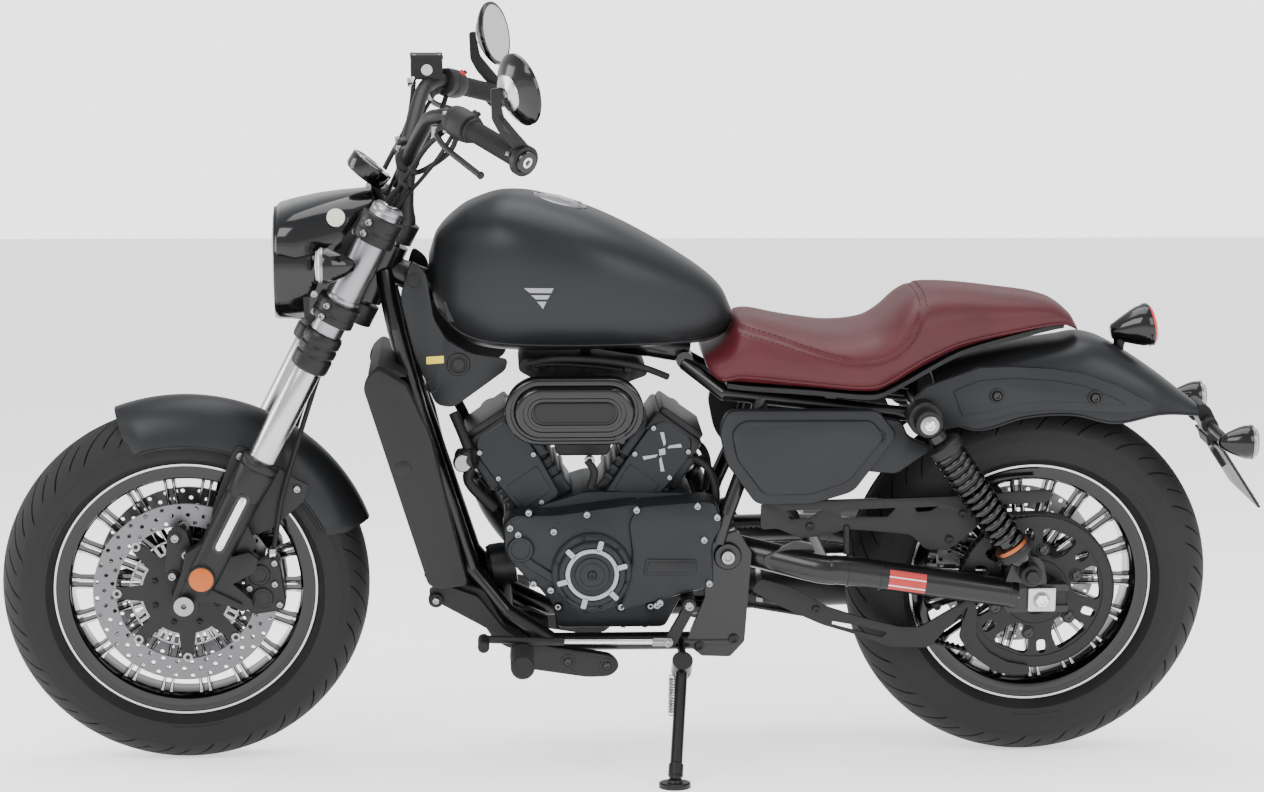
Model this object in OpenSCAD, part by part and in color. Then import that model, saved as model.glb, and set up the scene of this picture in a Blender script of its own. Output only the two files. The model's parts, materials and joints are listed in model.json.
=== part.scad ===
// Middleweight V-twin cruiser motorcycle, parked on its side stand.
// The bike is drawn upright and pointing straight ahead, in a frame whose X runs rearwards from the
// front axle, whose Y runs to the rider's right and whose Z is height above the ground. The finished
// bike is then steered a little, leaned onto its stand and centred on the origin.

/* [Stance] */
// Distance between the wheel axles
wheelbase = 1487; // [1440:1:1540]
// Lean of the parked bike onto its side stand, in degrees
lean_angle = 8; // [5:0.5:10]
// Rake of the steering axis from vertical, in degrees
rake = 27; // [26:0.5:30]
// How far the parked front wheel is turned to the left, in degrees
steer_rest = 3; // [0:1:20]
// Perpendicular distance from the steering axis forward to the fork legs
fork_offset = 40; // [32:1:48]

/* [Wheels] */
// Outside diameter of the front tyre
front_tyre_d = 640; // [600:1:660]
// Width of the front tyre
front_tyre_w = 130; // [110:1:138]
// Radius of the front rim at its outer lip
front_rim_r = 229; // [215:1:235]
// Outside diameter of the rear tyre
rear_tyre_d = 646; // [620:1:660]
// Width of the rear tyre
rear_tyre_w = 150; // [130:1:156]
// Radius of the rear rim at its outer lip
rear_rim_r = 216; // [205:1:222]
// Number of spoke pairs in each wheel
spoke_pairs = 18; // [10:1:20]
// Radius of the front wheel spindle
front_axle_r = 10; // [8:0.5:12]
// Radius of the rear wheel spindle
rear_axle_r = 11; // [8:0.5:13]
// Radial running clearance of a wheel on its spindle
axle_gap = 0.05; // [0.02:0.01:0.1]
// Radius of the front brake disc
front_disc_r = 160; // [140:1:165]
// Thickness of a brake disc
disc_t = 5; // [4:0.5:6]

/* [Front end] */
// Half the distance between the fork legs
fork_half = 104; // [100:1:112]
// Outside radius of a bright fork tube
fork_tube_r = 25; // [20:1:27]
// Outside radius of the fork tube shroud between the clamps
fork_shroud_r = 28; // [26:1:30]
// Height of the fork top caps above the ground
fork_top_z = 1008; // [980:1:1030]
// Headlight diameter
headlight_d = 196; // [160:1:205]
// Handlebar tube diameter
bar_d = 25.4; // [22:0.1:28]
// Half the width of the handlebar at the ends of its grips
bar_half = 372; // [340:1:400]
// Mirror diameter
mirror_d = 117; // [90:1:120]

/* [Frame] */
// Outside diameter of a frame tube
frame_tube_d = 31; // [26:1:34]
// Half the distance between the two engine cradle tubes
cradle_half = 105; // [98:1:112]
// Height of the swingarm pivot
pivot_z = 395; // [380:1:405]
// Distance of the swingarm pivot behind the front axle
pivot_x = 943; // [935:1:950]

/* [Engine] */
// Height of the crankshaft
crank_z = 378; // [370:1:385]
// Distance of the crankshaft behind the front axle
crank_x = 695; // [685:1:705]
// Half the angle between the two cylinders, in degrees
vee_half = 35; // [30:1:37]
// Half the width of the crankcase with its covers
crankcase_half = 165; // [150:1:172]

/* [Tank and seat] */
// Width of the fuel tank
tank_w = 300; // [260:1:330]
// Diameter of the fuel cap
cap_d = 98; // [80:1:104]
// Width of the seat at its widest
seat_w = 300; // [260:1:320]

/* [Stand] */
// Height of the side stand pivot
stand_pivot_z = 205; // [195:1:215]
// Distance of the side stand pivot behind the front axle
stand_pivot_x = 864; // [850:1:880]

/* [Clearances] */
// Gap left between pieces that move past each other
run_gap = 6; // [5:0.5:10]
// Gap left between pieces that lie against each other
lay_gap = 0.3; // [0.2:0.1:0.6]

/* [Hidden] */
$fn = 48;

front_r = front_tyre_d / 2;
rear_r = rear_tyre_d / 2;
// The leaned bike is lifted so that its round-shouldered tyres still touch the ground
lean_lift = rear_tyre_w / 2 * (1 - cos(lean_angle));
// Centre of the leaned bike's box, measured from the front axle and the tyre track
centre_x = 781.59;
centre_y = -171.74;
// Where the fork legs and the steering axis cross the height of the front axle
fork_x = 10;
steer_x = fork_x + fork_offset / cos(rake);
// Half the width of a hub between its spindle spacers
hub_half = 52;
belt_y = -94;
belt_half = 13;
belt_gap = 0.6;
pulley_r = 134;
front_pulley_r = 42;
tank_front = 428;
tank_rear = 952;
cap_x = 653;
cap_z = 998;
cap_tilt = 14;

// ---- Places -------------------------------------------------------------------------------------

// Puts the upright bike onto its side stand, centred on the origin
module parked()
    translate([-centre_x, -centre_y, lean_lift]) rotate([lean_angle, 0, 0]) children();

// Turns the front end about the steering axis
module steered()
    parked() translate([steer_x, 0, front_r]) rotate(a = steer_rest, v = [sin(rake), 0, cos(rake)])
        translate([-steer_x, 0, -front_r]) children();

// A frame whose Z runs up the fork legs from the height of the front axle
module along_fork() translate([fork_x, 0, front_r]) rotate([0, rake, 0]) children();

// The distance up the fork at which a height above the ground is reached
function up_fork(z) = (z - front_r) / cos(rake);

// Where the fork legs' line stands at a height above the ground
function fork_line(z) = fork_x + (z - front_r) * tan(rake);

// Where the steering axis stands at a height above the ground
function steer_line(z) = steer_x + (z - front_r) * tan(rake);

module both_sides() { children(); mirror([0, 1, 0]) children(); }

// ---- Shapes -------------------------------------------------------------------------------------

// A straight round bar from one point to another
module bar(a, b, r) {
    d = b - a;
    translate(a) rotate([0, acos(d.z / norm(d)), atan2(d.y, d.x)]) cylinder(r = r, h = norm(d));
}

// A bent tube along a list of points, with a ball at each bend
module pipe(points, r) {
    for (i = [0 : len(points) - 2]) bar(points[i], points[i + 1], r);
    for (i = [1 : 1 : len(points) - 2]) translate(points[i]) sphere(r = r + 0.15);
}

// An outline in the side view, drawn between two distances from the centre plane
module side_plate(points, y0, y1) translate([0, y1, 0]) rotate([90, 0, 0])
    linear_extrude(y1 - y0) polygon(points);

// The same with its corners rounded
module soft_plate(points, y0, y1, r) translate([0, y1, 0]) rotate([90, 0, 0])
    linear_extrude(y1 - y0) offset(r = r, $fn = 24) offset(delta = -r) polygon(points);

// A disc or ring across the bike
module across(x, z, y0, y1, r) translate([x, y1, z]) rotate([90, 0, 0]) cylinder(r = r, h = y1 - y0);

// A solid through a row of rings that all have the same number of points
module loft(rings) {
    n = len(rings[0]);
    m = len(rings);
    polyhedron(points = [for (ring = rings) each ring],
        faces = concat([[for (j = [0 : n - 1]) j]],
            [for (i = [0 : m - 2], j = [0 : n - 1])
                each [[i * n + j, (i + 1) * n + (j + 1) % n, i * n + (j + 1) % n],
                      [i * n + j, (i + 1) * n + j, (i + 1) * n + (j + 1) % n]]],
            [[for (j = [n - 1 : -1 : 0]) (m - 1) * n + j]]));
}

// A rounded ring across the bike at x, between two heights and a half width. Power 1 is an ellipse
// and smaller powers are squarer.
function body_ring(x, z0, z1, w, power, sides) = [for (j = [0 : sides - 1])
    let (a = 360 * j / sides, c = cos(a), s = sin(a))
    [x, w * sign(c) * pow(abs(c), power), (z0 + z1) / 2 + (z1 - z0) / 2 * sign(s) * pow(abs(s), power)]];

// A channel ring across the bike at x: a rounded arch of the given crown, edge height and half width
function arch_ring(x, crown, edge, w, wall, power, sides) =
    concat([for (j = [0 : sides]) let (a = 180 * j / sides)
            [x, w * sign(cos(a)) * pow(abs(cos(a)), power), edge + (crown - edge) * pow(sin(a), power)]],
        [for (j = [sides : -1 : 0]) let (a = 180 * j / sides)
            [x, (w - wall) * sign(cos(a)) * pow(abs(cos(a)), power),
                edge + (crown - edge - wall) * pow(sin(a), power)]]);

// A point on the smooth curve through a row of points, at a place counted in points
function on_curve(p, t) = let (i = min(floor(t), len(p) - 2), u = t - i, a = p[max(i - 1, 0)], b = p[i],
    c = p[i + 1], d = p[min(i + 2, len(p) - 1)])
    (2 * b + (c - a) * u + (2 * a - 5 * b + 4 * c - d) * u * u + (3 * b - a - 3 * c + d) * u * u * u) / 2;

// A hose swept along the smooth curve through a row of points
module hose(points, r) {
    places = steps(0, len(points) - 1, 4 * (len(points) - 1));
    loft([for (t = places)
        let (c = on_curve(points, t), along = on_curve(points, min(t + 0.05, len(points) - 1))
                - on_curve(points, max(t - 0.05, 0)),
            u = cross(along, [0.3, 0.2, 0.1]) / norm(cross(along, [0.3, 0.2, 0.1])),
            v = cross(along, u) / norm(along))
        [for (a = [0 : 45 : 315]) c + r * (cos(a) * u + sin(a) * v)]]);
}

// Even steps between two numbers
function steps(a, b, n) = [for (i = [0 : n]) a + (b - a) * i / n];

// ---- Wheels -------------------------------------------------------------------------------------

// Spins a cross-section, drawn as radius and distance across, about a wheel's spindle
module spun() rotate([90, 0, 0]) rotate_extrude($fn = 96) children();

module tyre(outer_r, w, rim_r) {
    section = w / 2;
    shoulder_r = rim_r + 12;
    bead_half = w / 2 - 24;
    half = sqrt(section * section - pow(outer_r - section - shoulder_r, 2));
    spun() difference() {
        union() {
            intersection() {
                translate([outer_r - section, 0]) circle(r = section);
                translate([shoulder_r, -w]) square([w * 2, w * 2]);
            }
            polygon([[rim_r - 14, -bead_half], [rim_r + 1, -bead_half], [shoulder_r, -half],
                [shoulder_r, half], [rim_r + 1, bead_half], [rim_r - 14, bead_half]]);
        }
        translate([outer_r - section, 0]) circle(r = section - 22);
        translate([0, -bead_half + 14]) square([outer_r - section, 2 * bead_half - 28]);
    }
}

// A cast wheel: rim, thin paired spokes and hub, bored for its spindle
module cast_wheel(w, rim_r, bore_r, hub_r, hub_w, phase) {
    rim_half = w / 2 - 22;
    seat_r = rim_r - 14 - lay_gap;
    well_r = rim_r - 30;
    star_r = hub_r + 20;
    difference() {
        union() {
            spun() {
                translate([well_r, -rim_half]) square([seat_r - well_r, 2 * rim_half]);
                for (y = [-rim_half, rim_half - 1.7 + lay_gap])
                    translate([seat_r - 2, y]) square([rim_r - seat_r + 2, 1.7 - lay_gap]);
            }
            across(0, 0, -hub_w, hub_w, hub_r);
            across(0, 0, -12, 12, star_r);
            for (i = [0 : spoke_pairs - 1], side = [-1, 1]) rotate([0, phase + 360 * i / spoke_pairs, 0])
                translate([side * 7 - 2.5, -10, star_r - 2]) cube([5, 20, well_r - star_r + 5]);
        }
        across(0, 0, -hub_w - 1, hub_w + 1, bore_r);
    }
}

module front_tyre() color("dimgray") steered() translate([0, 0, front_r])
    tyre(front_r, front_tyre_w, front_rim_r);

module front_wheel() color("gray") steered() translate([0, 0, front_r])
    cast_wheel(front_tyre_w, front_rim_r, front_axle_r + axle_gap, 42, hub_half, 8);

module front_discs() color("silver") steered() translate([0, 0, front_r]) both_sides()
    translate([0, -hub_half - disc_t - lay_gap, 0]) {
        difference() {
            across(0, 0, 0, disc_t, front_disc_r);
            across(0, 0, -1, disc_t + 1, front_disc_r - 39);
        }
        difference() {
            union() {
                across(0, 0, 0, disc_t, 76);
                for (i = [0 : 7]) rotate([0, 45 * i, 0]) translate([-9, 0.5, 60]) cube([18, disc_t - 1, 66]);
            }
            across(0, 0, -1, disc_t + 1, front_axle_r + 12);
        }
    }

module rear_tyre() color("dimgray") parked() translate([wheelbase, 0, rear_r])
    tyre(rear_r, rear_tyre_w, rear_rim_r);

module rear_wheel() color("gray") parked() translate([wheelbase, 0, rear_r])
    cast_wheel(rear_tyre_w, rear_rim_r, rear_axle_r + axle_gap, 52, 72, 7);

// The belt pulley on the left of the rear wheel and its brake disc on the right
module rear_pulley() color("dimgray") parked() translate([wheelbase, 0, rear_r]) {
    difference() {
        union() {
            across(0, 0, belt_y - 15, belt_y + 15, pulley_r);
            across(0, 0, belt_y + 14.5, -72 - lay_gap, 62);
        }
        across(0, 0, belt_y - 16, belt_y - 4, pulley_r - 16);
        across(0, 0, belt_y + 6, belt_y + 14, pulley_r - 16);
        for (i = [0 : 5]) rotate([0, 60 * i, 0]) for (t = [-12, 0, 12]) rotate([0, t, 0])
            translate([0, belt_y + 18, 100]) rotate([90, 0, 0]) cylinder(r = 13, h = 36);
        across(0, 0, belt_y - 18, 0, rear_axle_r + 8);
    }
    difference() {
        across(0, 0, 72 + lay_gap, 72 + lay_gap + disc_t, 146);
        across(0, 0, 70, 80 + disc_t, rear_axle_r + 8);
        for (i = [0 : 5]) rotate([0, 60 * i, 0]) translate([0, 80 + disc_t, 82]) rotate([90, 0, 0])
            cylinder(r = 22, h = 20);
    }
}

// ---- Front end ----------------------------------------------------------------------------------

clamp_low_z = 827;
clamp_top_z = 968;
stem_r = 17;
caliper_out = 90;

// The two clamps that hold the fork legs, with the stem that turns in the steering head
module triple_clamps() color("black") steered() along_fork() {
    for (z = [clamp_low_z, clamp_top_z]) difference() {
        union() {
            translate([0, -fork_half, up_fork(z) - 19]) cube([24, 2 * fork_half, 38]);
            translate([0, -28, up_fork(z) - 19]) cube([fork_offset, 56, 38]);
            for (y = [-fork_half, fork_half]) translate([0, y, up_fork(z) - 21])
                cylinder(r = fork_shroud_r + 8, h = 42);
            translate([fork_offset, 0, up_fork(z) - 19]) cylinder(r = 34, h = 38);
        }
        for (y = [-fork_half, fork_half]) translate([0, y, up_fork(z) - 30])
            cylinder(r = fork_shroud_r + 0.1, h = 60);
    }
    translate([fork_offset, 0, up_fork(clamp_low_z)])
        cylinder(r = stem_r, h = up_fork(clamp_top_z) - up_fork(clamp_low_z));
}

// The fork legs: shrouds, boots, bright tubes and the dark lower castings that hold the spindle
module fork_legs() color("silver") steered() both_sides() difference() {
    union() {
        along_fork() translate([0, -fork_half, 0]) {
            translate([0, 0, up_fork(548)]) cylinder(r = fork_tube_r, h = up_fork(740) - up_fork(548));
            translate([0, 0, up_fork(728)]) cylinder(r = fork_shroud_r + 5, h = up_fork(790) - up_fork(728));
            translate([0, 0, up_fork(780)])
                cylinder(r = fork_shroud_r, h = up_fork(fork_top_z) - up_fork(780));
            translate([0, 0, 24]) cylinder(r = 28, h = up_fork(556) - 24);
            cylinder(r = 24, h = 60);
        }
        across(0, front_r, -fork_half - 26, -fork_half + 26, 25);
        side_plate([[30, front_r + 40], [76, front_r + 128], [128, front_r + 70], [112, front_r - 6],
            [64, front_r + 16]], -fork_half + 6, -caliper_out - lay_gap);
    }
    across(0, front_r, -200, 0, front_axle_r + 0.1);
    along_fork() translate([-40, -fork_half - 60, up_fork(418)])
        cube([80, 42, up_fork(508) - up_fork(418)]);
}

// The hollow front spindle with its nut and the spacers beside the hub
module front_axle() color("silver") steered() translate([0, 0, front_r]) {
    difference() {
        union() {
            across(0, 0, -fork_half - 30, fork_half + 30, front_axle_r);
            across(0, 0, -fork_half - 34, -fork_half - 27, 17);
            across(0, 0, fork_half + 27, fork_half + 34, 17);
        }
        across(0, 0, -fork_half - 40, fork_half + 40, 5);
    }
    both_sides() difference() {
        across(0, 0, -fork_half + 26 + lay_gap, -hub_half - 0.6, front_axle_r + 6);
        across(0, 0, -fork_half, -hub_half + 1, front_axle_r);
    }
}

fender_r = 341;
fender_half = 74;

// The front fender: an arched band round the tyre, cut back at its nose and carried by two stays
module front_fender() color("dimgray") steered() translate([0, 0, front_r]) {
    crown = 92;
    rotate([90, 0, 0]) rotate([0, 0, 20]) rotate_extrude(angle = 90, $fn = 96) difference() {
        intersection() {
            translate([fender_r - crown, 0]) scale([1, fender_half / crown]) circle(r = crown);
            translate([fender_r - 78, -fender_half]) square([100, 2 * fender_half]);
        }
        translate([fender_r - crown, 0]) scale([1, (fender_half - 4) / (crown - 4)])
            circle(r = crown - 4);
    }
    both_sides() for (a = [36, 84]) rotate([0, -a, 0])
        translate([fender_r - 95, -fender_half + 1, -8]) cube([26, 4, 16]);
    both_sides() across(76, 130, -fork_half + 28 + lay_gap, -fender_half + 1, 9);
    both_sides() side_plate([[48, 112], [216, 150], [226, 178], [118, 252], [90, 254], [46, 150]],
        -fender_half + 0.4, -fender_half + 4.4);
}

light_x = 168;
light_z = 893;

// The headlight: a round lamp in a deep shell under a peaked cowl
module headlight() color("black") steered() difference() {
    light_body();
    for (z = [clamp_low_z, clamp_top_z]) along_fork()
        translate([-fork_shroud_r - 12, -120, up_fork(z) - 21 - lay_gap]) cube([160, 240, 42 + 2 * lay_gap]);
}

module light_body() {
    translate([light_x, 0, light_z]) rotate([0, 90, 0]) {
        cylinder(r = headlight_d / 2, h = 62);
        translate([0, 0, 60]) cylinder(r1 = headlight_d / 2 - 4, r2 = 60, h = 46);
        translate([0, 0, -9]) cylinder(r1 = 72, r2 = headlight_d / 2 - 8, h = 10);
    }
    hull() {
        translate([light_x + 6, -headlight_d / 2 - 4, light_z + 30]) cube([4, headlight_d + 8, 66]);
        translate([light_x + 142, -62, light_z + 104]) cube([12, 124, 22]);
        translate([light_x + 62, -headlight_d / 2 + 4, light_z + 36]) cube([4, headlight_d - 8, 70]);
    }
    both_sides() soft_plate([[220, 930], [316, 1000], [336, 990], [286, 890], [262, 800], [220, 806]],
        -72, -64, 5);
    translate([fork_line(light_z) - 62, -72, light_z - 20]) cube([32, 144, 40]);
}

signal_x = 241;
signal_z = 919;

// The front turn signals on their short stalks
module front_signals() color("black") steered() both_sides() {
    translate([signal_x, -166, signal_z]) rotate([0, 90, 0]) {
        cylinder(r = 30, h = 20);
        translate([0, 0, 20]) cylinder(r1 = 30, r2 = 12, h = 36);
        translate([0, 0, 56]) cylinder(r1 = 12, r2 = 5, h = 8);
        translate([0, 0, -7]) cylinder(r1 = 22, r2 = 29, h = 7);
    }
    bar([signal_x + 22, -140, signal_z - 4], [signal_x + 24, -73, signal_z - 6], 8);
}

bar_r = bar_d / 2;
riser_z = up_fork(clamp_top_z) + 19;
bar_bend = [456, -222, 1176];
bar_path = [[392, 0, 1078], [393, -62, 1080], [424, -176, 1168], bar_bend];
grip_out = [560, -bar_half, 1132];
grip_dir = (grip_out - bar_bend) / norm(grip_out - bar_bend);
grip_in = bar_bend + grip_dir * 64;
// Where the line of the grip passes the mirror's arm
bar_end = grip_out + grip_dir * ((bar_half + 14) - bar_half) / -grip_dir.y;

// The handlebar on its two risers
module handlebar() color("black") steered() {
    both_sides() {
        pipe(bar_path, bar_r);
        bar(bar_bend, grip_out, bar_r);
        translate(bar_bend) sphere(r = bar_r + 0.15);
        hull() {
            along_fork() translate([fork_offset, -50, riser_z + lay_gap]) cylinder(r = 21, h = 12);
            across(392, 1078, -70, -30, 25);
        }
    }
}

// The grips with their round end weights
module grips() color("black") steered() both_sides() {
    difference() {
        bar(grip_in, grip_out, 17);
        bar(grip_in - grip_dir * 5, grip_out + grip_dir * 5, bar_r + 0.05);
    }
    bar(grip_out + grip_dir * lay_gap, grip_out + grip_dir * 26, 19);
}

// Switch blocks, levers and the front brake's fluid box, clamped on the bar
module hand_controls() color("black") steered() difference() {
    union() {
        both_sides() {
            bar(bar_bend + grip_dir * 12, grip_in - grip_dir * lay_gap, 26);
            bar([436, -216, 1150], [462, -236, 1164], 9);
            pipe([[436, -216, 1150], [452, -262, 1128], [500, -360, 1100]], 6);
        }
        translate([404, 196, 1180]) cube([58, 44, 44]);
        bar([430, 216, 1170], [462, 236, 1172], 9);
    }
    both_sides() {
        pipe([bar_path[1], bar_path[2], bar_bend], bar_r + 0.05);
        bar(bar_bend, grip_in + grip_dir * 10, bar_r + 0.05);
        translate(bar_bend) sphere(r = bar_r + 0.25);
    }
}

mirror_y = bar_half + 14;
mirror_z = 1240;
mirror_toe = 27;

// Round mirrors carried above the bar ends on cranked arms
module mirrors() color("black") steered() both_sides() {
    translate([558, -mirror_y, mirror_z]) rotate([0, 0, mirror_toe]) rotate([0, 78, 0]) rotate_extrude()
        polygon([[0, -20], [24, -20], [mirror_d / 2 - 3, -1], [mirror_d / 2, 3], [mirror_d / 2, 9], [0, 9]]);
    difference() {
        union() {
            side_plate([[560, 1136], [580, 1146], [531, 1198], [527, 1230], [548, 1234], [546, 1246],
                [514, 1244], [517, 1192]], -mirror_y - 5, -mirror_y + 5);
            across(bar_end.x, bar_end.z, -mirror_y - 5, -mirror_y + 5, 26);
        }
        bar(grip_out - grip_dir * 20, grip_out + grip_dir * 60, 19 + lay_gap);
    }
}

// The small round instrument above the headlight
module instrument() color("black") steered() {
    translate([316, 0, 1040]) rotate([0, 38, 0]) cylinder(r = 40, h = 30);
    bar([328, 0, 1050], [351, 0, 986], 8);
}

// Brake calipers behind the fork legs
module front_calipers() color("dimgray") steered() translate([0, 0, front_r]) both_sides()
    rotate([0, -6, 0]) translate([106, -caliper_out, -44]) difference() {
        cube([66, 56, 100]);
        translate([-1, caliper_out - hub_half - disc_t - lay_gap - 3, -1]) cube([60, disc_t + 6, 110]);
    }

// Brake hoses from the fluid box down behind the fork legs to the calipers
module brake_hoses() color("black") steered() {
    hose([[410, 202, 1176], [398, 160, 1110], [366, 96, 1060], [340, 56, 1016], [324, 46, 976],
        [308, 52, 906], [262, 57, 842], [250, 52, 800], [246, 60, 750], [226, 80, 680], [200, 88, 600],
        [170, 92, 500], [160, 90, 440], [152, 81, 393.3]], 4.5);
    hose([[249, 40, 796], [252, 0, 786], [250, -42, 797], [250, -60, 750], [226, -80, 680],
        [200, -88, 600], [170, -92, 500], [160, -90, 440], [152, -81, 393.3]], 4.5);
}

// ---- Frame --------------------------------------------------------------------------------------

tube_r = frame_tube_d / 2;
pivot_r = 12;
stand_pin_r = 6;
head_r = 32;

head_low = up_fork(clamp_low_z) + 19 + run_gap;
head_high = up_fork(clamp_top_z) - 19 - run_gap;
downtube = [[steer_line(880) + 10, -22, 880], [372, -46, 782], [412, -58, 632], [500, -66, 359],
    [560, -80, 285], [640, -cradle_half, 238], [950, -cradle_half, 238]];
seat_rail = [[870, -40, 720], [935, -84, 676], [1290, -86, 634]];
rail_strut = [[925, -121.5, 420], [940, -121.5, 470], [975, -100, 560], [1000, -85, 669]];
plate_out = cradle_half + 14;
plate_in = cradle_half + 4;

// Steering head, twin downtubes, engine cradle, backbone, seat rails and the plates at the pivot
module frame_tubes() color("black") parked() {
    difference() {
        union() {
            along_fork() translate([fork_offset, 0, head_low]) cylinder(r = head_r, h = head_high - head_low);
            both_sides() {
                pipe(downtube, tube_r);
                soft_plate([[905, 420], [960, 440], [985, 400], [975, 240], [950, 212], [900, 214],
                    [872, 238], [905, 320]], -plate_out, -plate_in, 8);
                pipe(rail_strut, tube_r - 2);
                pipe(seat_rail, tube_r - 3);
            }
            pipe([[steer_line(880) + 10, 0, 885], [560, 0, 800], [720, 0, 762], [880, 0, 736]], 24);
            across(870, 726, -48, 48, 15);
            across(940, 238, -cradle_half, cradle_half, 13);
            across(1285, 634.5, -86, 86, 12);
            across(1120, 669.3, -88, 88, 10);
            across(560, 285, -80, 80, 12);
            across(pivot_x, pivot_z, -plate_out - 6, plate_out + 6, pivot_r);
            for (e = [-1, 1]) bar(stand_pivot + stand_pin * e * (8 + lay_gap),
                stand_pivot + stand_pin * e * 20, 18);
            for (e = [-1, 1]) bar(stand_pivot + stand_pin * e * 17 - stand_leg * 12,
                [stand_pivot_x, -cradle_half - 4, 238 + e * 6], 6);
            bar(stand_pivot - stand_pin * 15, stand_pivot + stand_pin * 15, stand_pin_r);
        }
        along_fork() translate([fork_offset, 0, head_low - 40])
            cylinder(r = stem_r + 0.5, h = head_high - head_low + 80);
    }
}

// ---- Engine -------------------------------------------------------------------------------------

// The crankcase with its clutch and alternator covers, the heavy mass low in the frame
module crankcase() color("slategray") parked() difference() {
    case_body();
    // the pocket that the belt runs in, with the front pulley left standing in it
    difference() {
        union() {
            across(front_pulley_x, front_pulley_z, belt_y - 17, belt_y + 17, front_pulley_r + 12);
            side_plate([[front_pulley_x, 332], [960, 320], [960, 470], [front_pulley_x, 460]],
                belt_y - 17, belt_y + 17);
        }
        across(front_pulley_x, front_pulley_z, belt_y - 20, belt_y + 20, front_pulley_r);
    }
}

module case_body() {
    soft_plate(concat([[560, 415], [604, 345], [700, 300], [800, 300], [880, 330], [900, 440]],
        [case_top[2], case_top[1], case_top[0]]), -86, 86, 3);
    soft_plate([[604, 420], [640, 348], [700, 318], [756, 304], [904, 348], [900, 420], [906, 462],
        [880, 486], [800, 478], [690, 452], [610, 458]], -crankcase_half + 22, -80, 14);
    soft_plate([[604, 420], [640, 340], [700, 318], [830, 318], [900, 360], [896, 440], [860, 478],
        [690, 470], [620, 462]], 80, crankcase_half - 22, 14);
    both_sides() across(crank_x + 12, crank_z - 5, -crankcase_half + 8, -crankcase_half + 24, 70);
    across(crank_x + 12, crank_z - 5, -crankcase_half, -crankcase_half + 10, 52);
    across(824, 398, crankcase_half - 24, crankcase_half - 2, 62);
    soft_plate([[798, 364], [884, 364], [890, 396], [800, 398]], -crankcase_half + 16,
        -crankcase_half + 24, 4);
    translate([640, -50, 252]) cube([200, 100, 60]);
    translate([560, -60, 350]) rotate([90, 0, 90]) cylinder(r = 38, h = 30);
}

case_top = [[556, 458], [700, 505], [880, 500]];
port_up = 270;

// The outside end of a cylinder head's exhaust side; side is -1 at the front and 1 at the rear
function port(side) = [crank_x + side * port_up * sin(vee_half), crank_z + port_up * cos(vee_half)];

// The space that the crankcase takes below its top faces
module below_case_top() side_plate(concat([[400, 200], [400, case_top[0][1]]],
    [for (p = case_top) p + [0, lay_gap]], [[1000, 500 + lay_gap], [1000, 200]]), -120, 120);

// One cylinder with its cooling fins and head, standing on the crankcase along its own Z
module cylinder_stack(deck) {
    translate([0, 0, 80]) cylinder(r = 52, h = deck - 80);
    for (z = [deck - 62 : 15 : deck - 4]) translate([-60, -66, z]) cube([120, 132, 6]);
    translate([-58, -70, deck]) cube([116, 140, 62]);
    translate([-48, -78, deck + 56]) cube([96, 156, 50]);
    translate([0, -86, port_up]) rotate([-90, 0, 0]) cylinder(r = 30, h = 172);
    translate([0, -76, deck + 28]) rotate([90, 0, 0]) cylinder(r = 26, h = 14);
}

module standing_cylinder(side) difference() {
    translate([crank_x, 0, crank_z]) rotate([0, side * vee_half, 0]) cylinder_stack(196);
    below_case_top();
}

module front_cylinder() color("slategray") parked() standing_cylinder(-1);

module rear_cylinder() color("slategray") parked() standing_cylinder(1);

// The intake box between the heads
module air_box() color("dimgray") parked() {
    soft_plate([[598, 734], [584, 718], [620, 690], [648, 560], [738, 560], [770, 690], [806, 706],
        [790, 720], [700, 731]], -64, 64, 6);
    translate([700, 0, 726]) cylinder(r = 10, h = 13.6);
    across(670, 657, -118, -60, 40);
    across(722, 657, -118, -60, 34);
}

filter_x = 676;
filter_z = 657;

// The oval cover over the air filter, with its name plate left blank
module air_filter_cover() color("black") parked() {
    hull() for (x = [filter_x - 56, filter_x + 56]) {
        across(x, filter_z, -148, -118 - lay_gap, 56);
        across(x, filter_z, -156, -118 - lay_gap, 46);
    }
    soft_plate([[598, 636], [758, 636], [758, 680], [598, 680]], -160, -150, 6);
}

// The radiator in its shroud between the downtubes
module radiator() color("black") parked() {
    difference() {
        soft_plate([[343, 735], [326, 720], [318, 700], [426, 352], [446, 346], [472, 352], [397, 640],
            [374, 700]], -150, 150, 5);
        translate([0, 0, 0]) side_plate([[300, 690], [316, 690], [418, 364], [434, 366], [336, 700],
            [300, 720]], -128, 128);
        both_sides() pipe([for (i = [0 : 4]) downtube[i]], tube_r + 2 * lay_gap);
    }
}

// The cover below the radiator, ahead of the crankcase
module chin_cover() color("dimgray") parked() difference() {
    soft_plate([[440, 338], [510, 300], [545, 232], [575, 222], [630, 212], [640, 222], [560, 250],
        [520, 330], [470, 343]], -92, 92, 4);
    both_sides() pipe([for (i = [2 : 6]) downtube[i]], tube_r + 0.6);
    across(560, 285, -90, 90, 12.5);
}

// The pressed covers on each side of the steering head
module neck_covers() color("black") parked() both_sides() {
    difference() {
        soft_plate([[399, 908], [380, 845], [404, 740], [440, 655], [470, 650], [560, 716], [564, 734],
            [500, 744], [458, 770], [436, 806], [424, 888]], -76, -66, 5);
        across(404, 872, -80, -60, 11);
        across(440, 684, -80, -60, 9);
    }
    across(479, 723, -80, -70, 18);
    across(416, 857, -67, -24.5, 7);
}

// ---- Tank and seat ------------------------------------------------------------------------------

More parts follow.
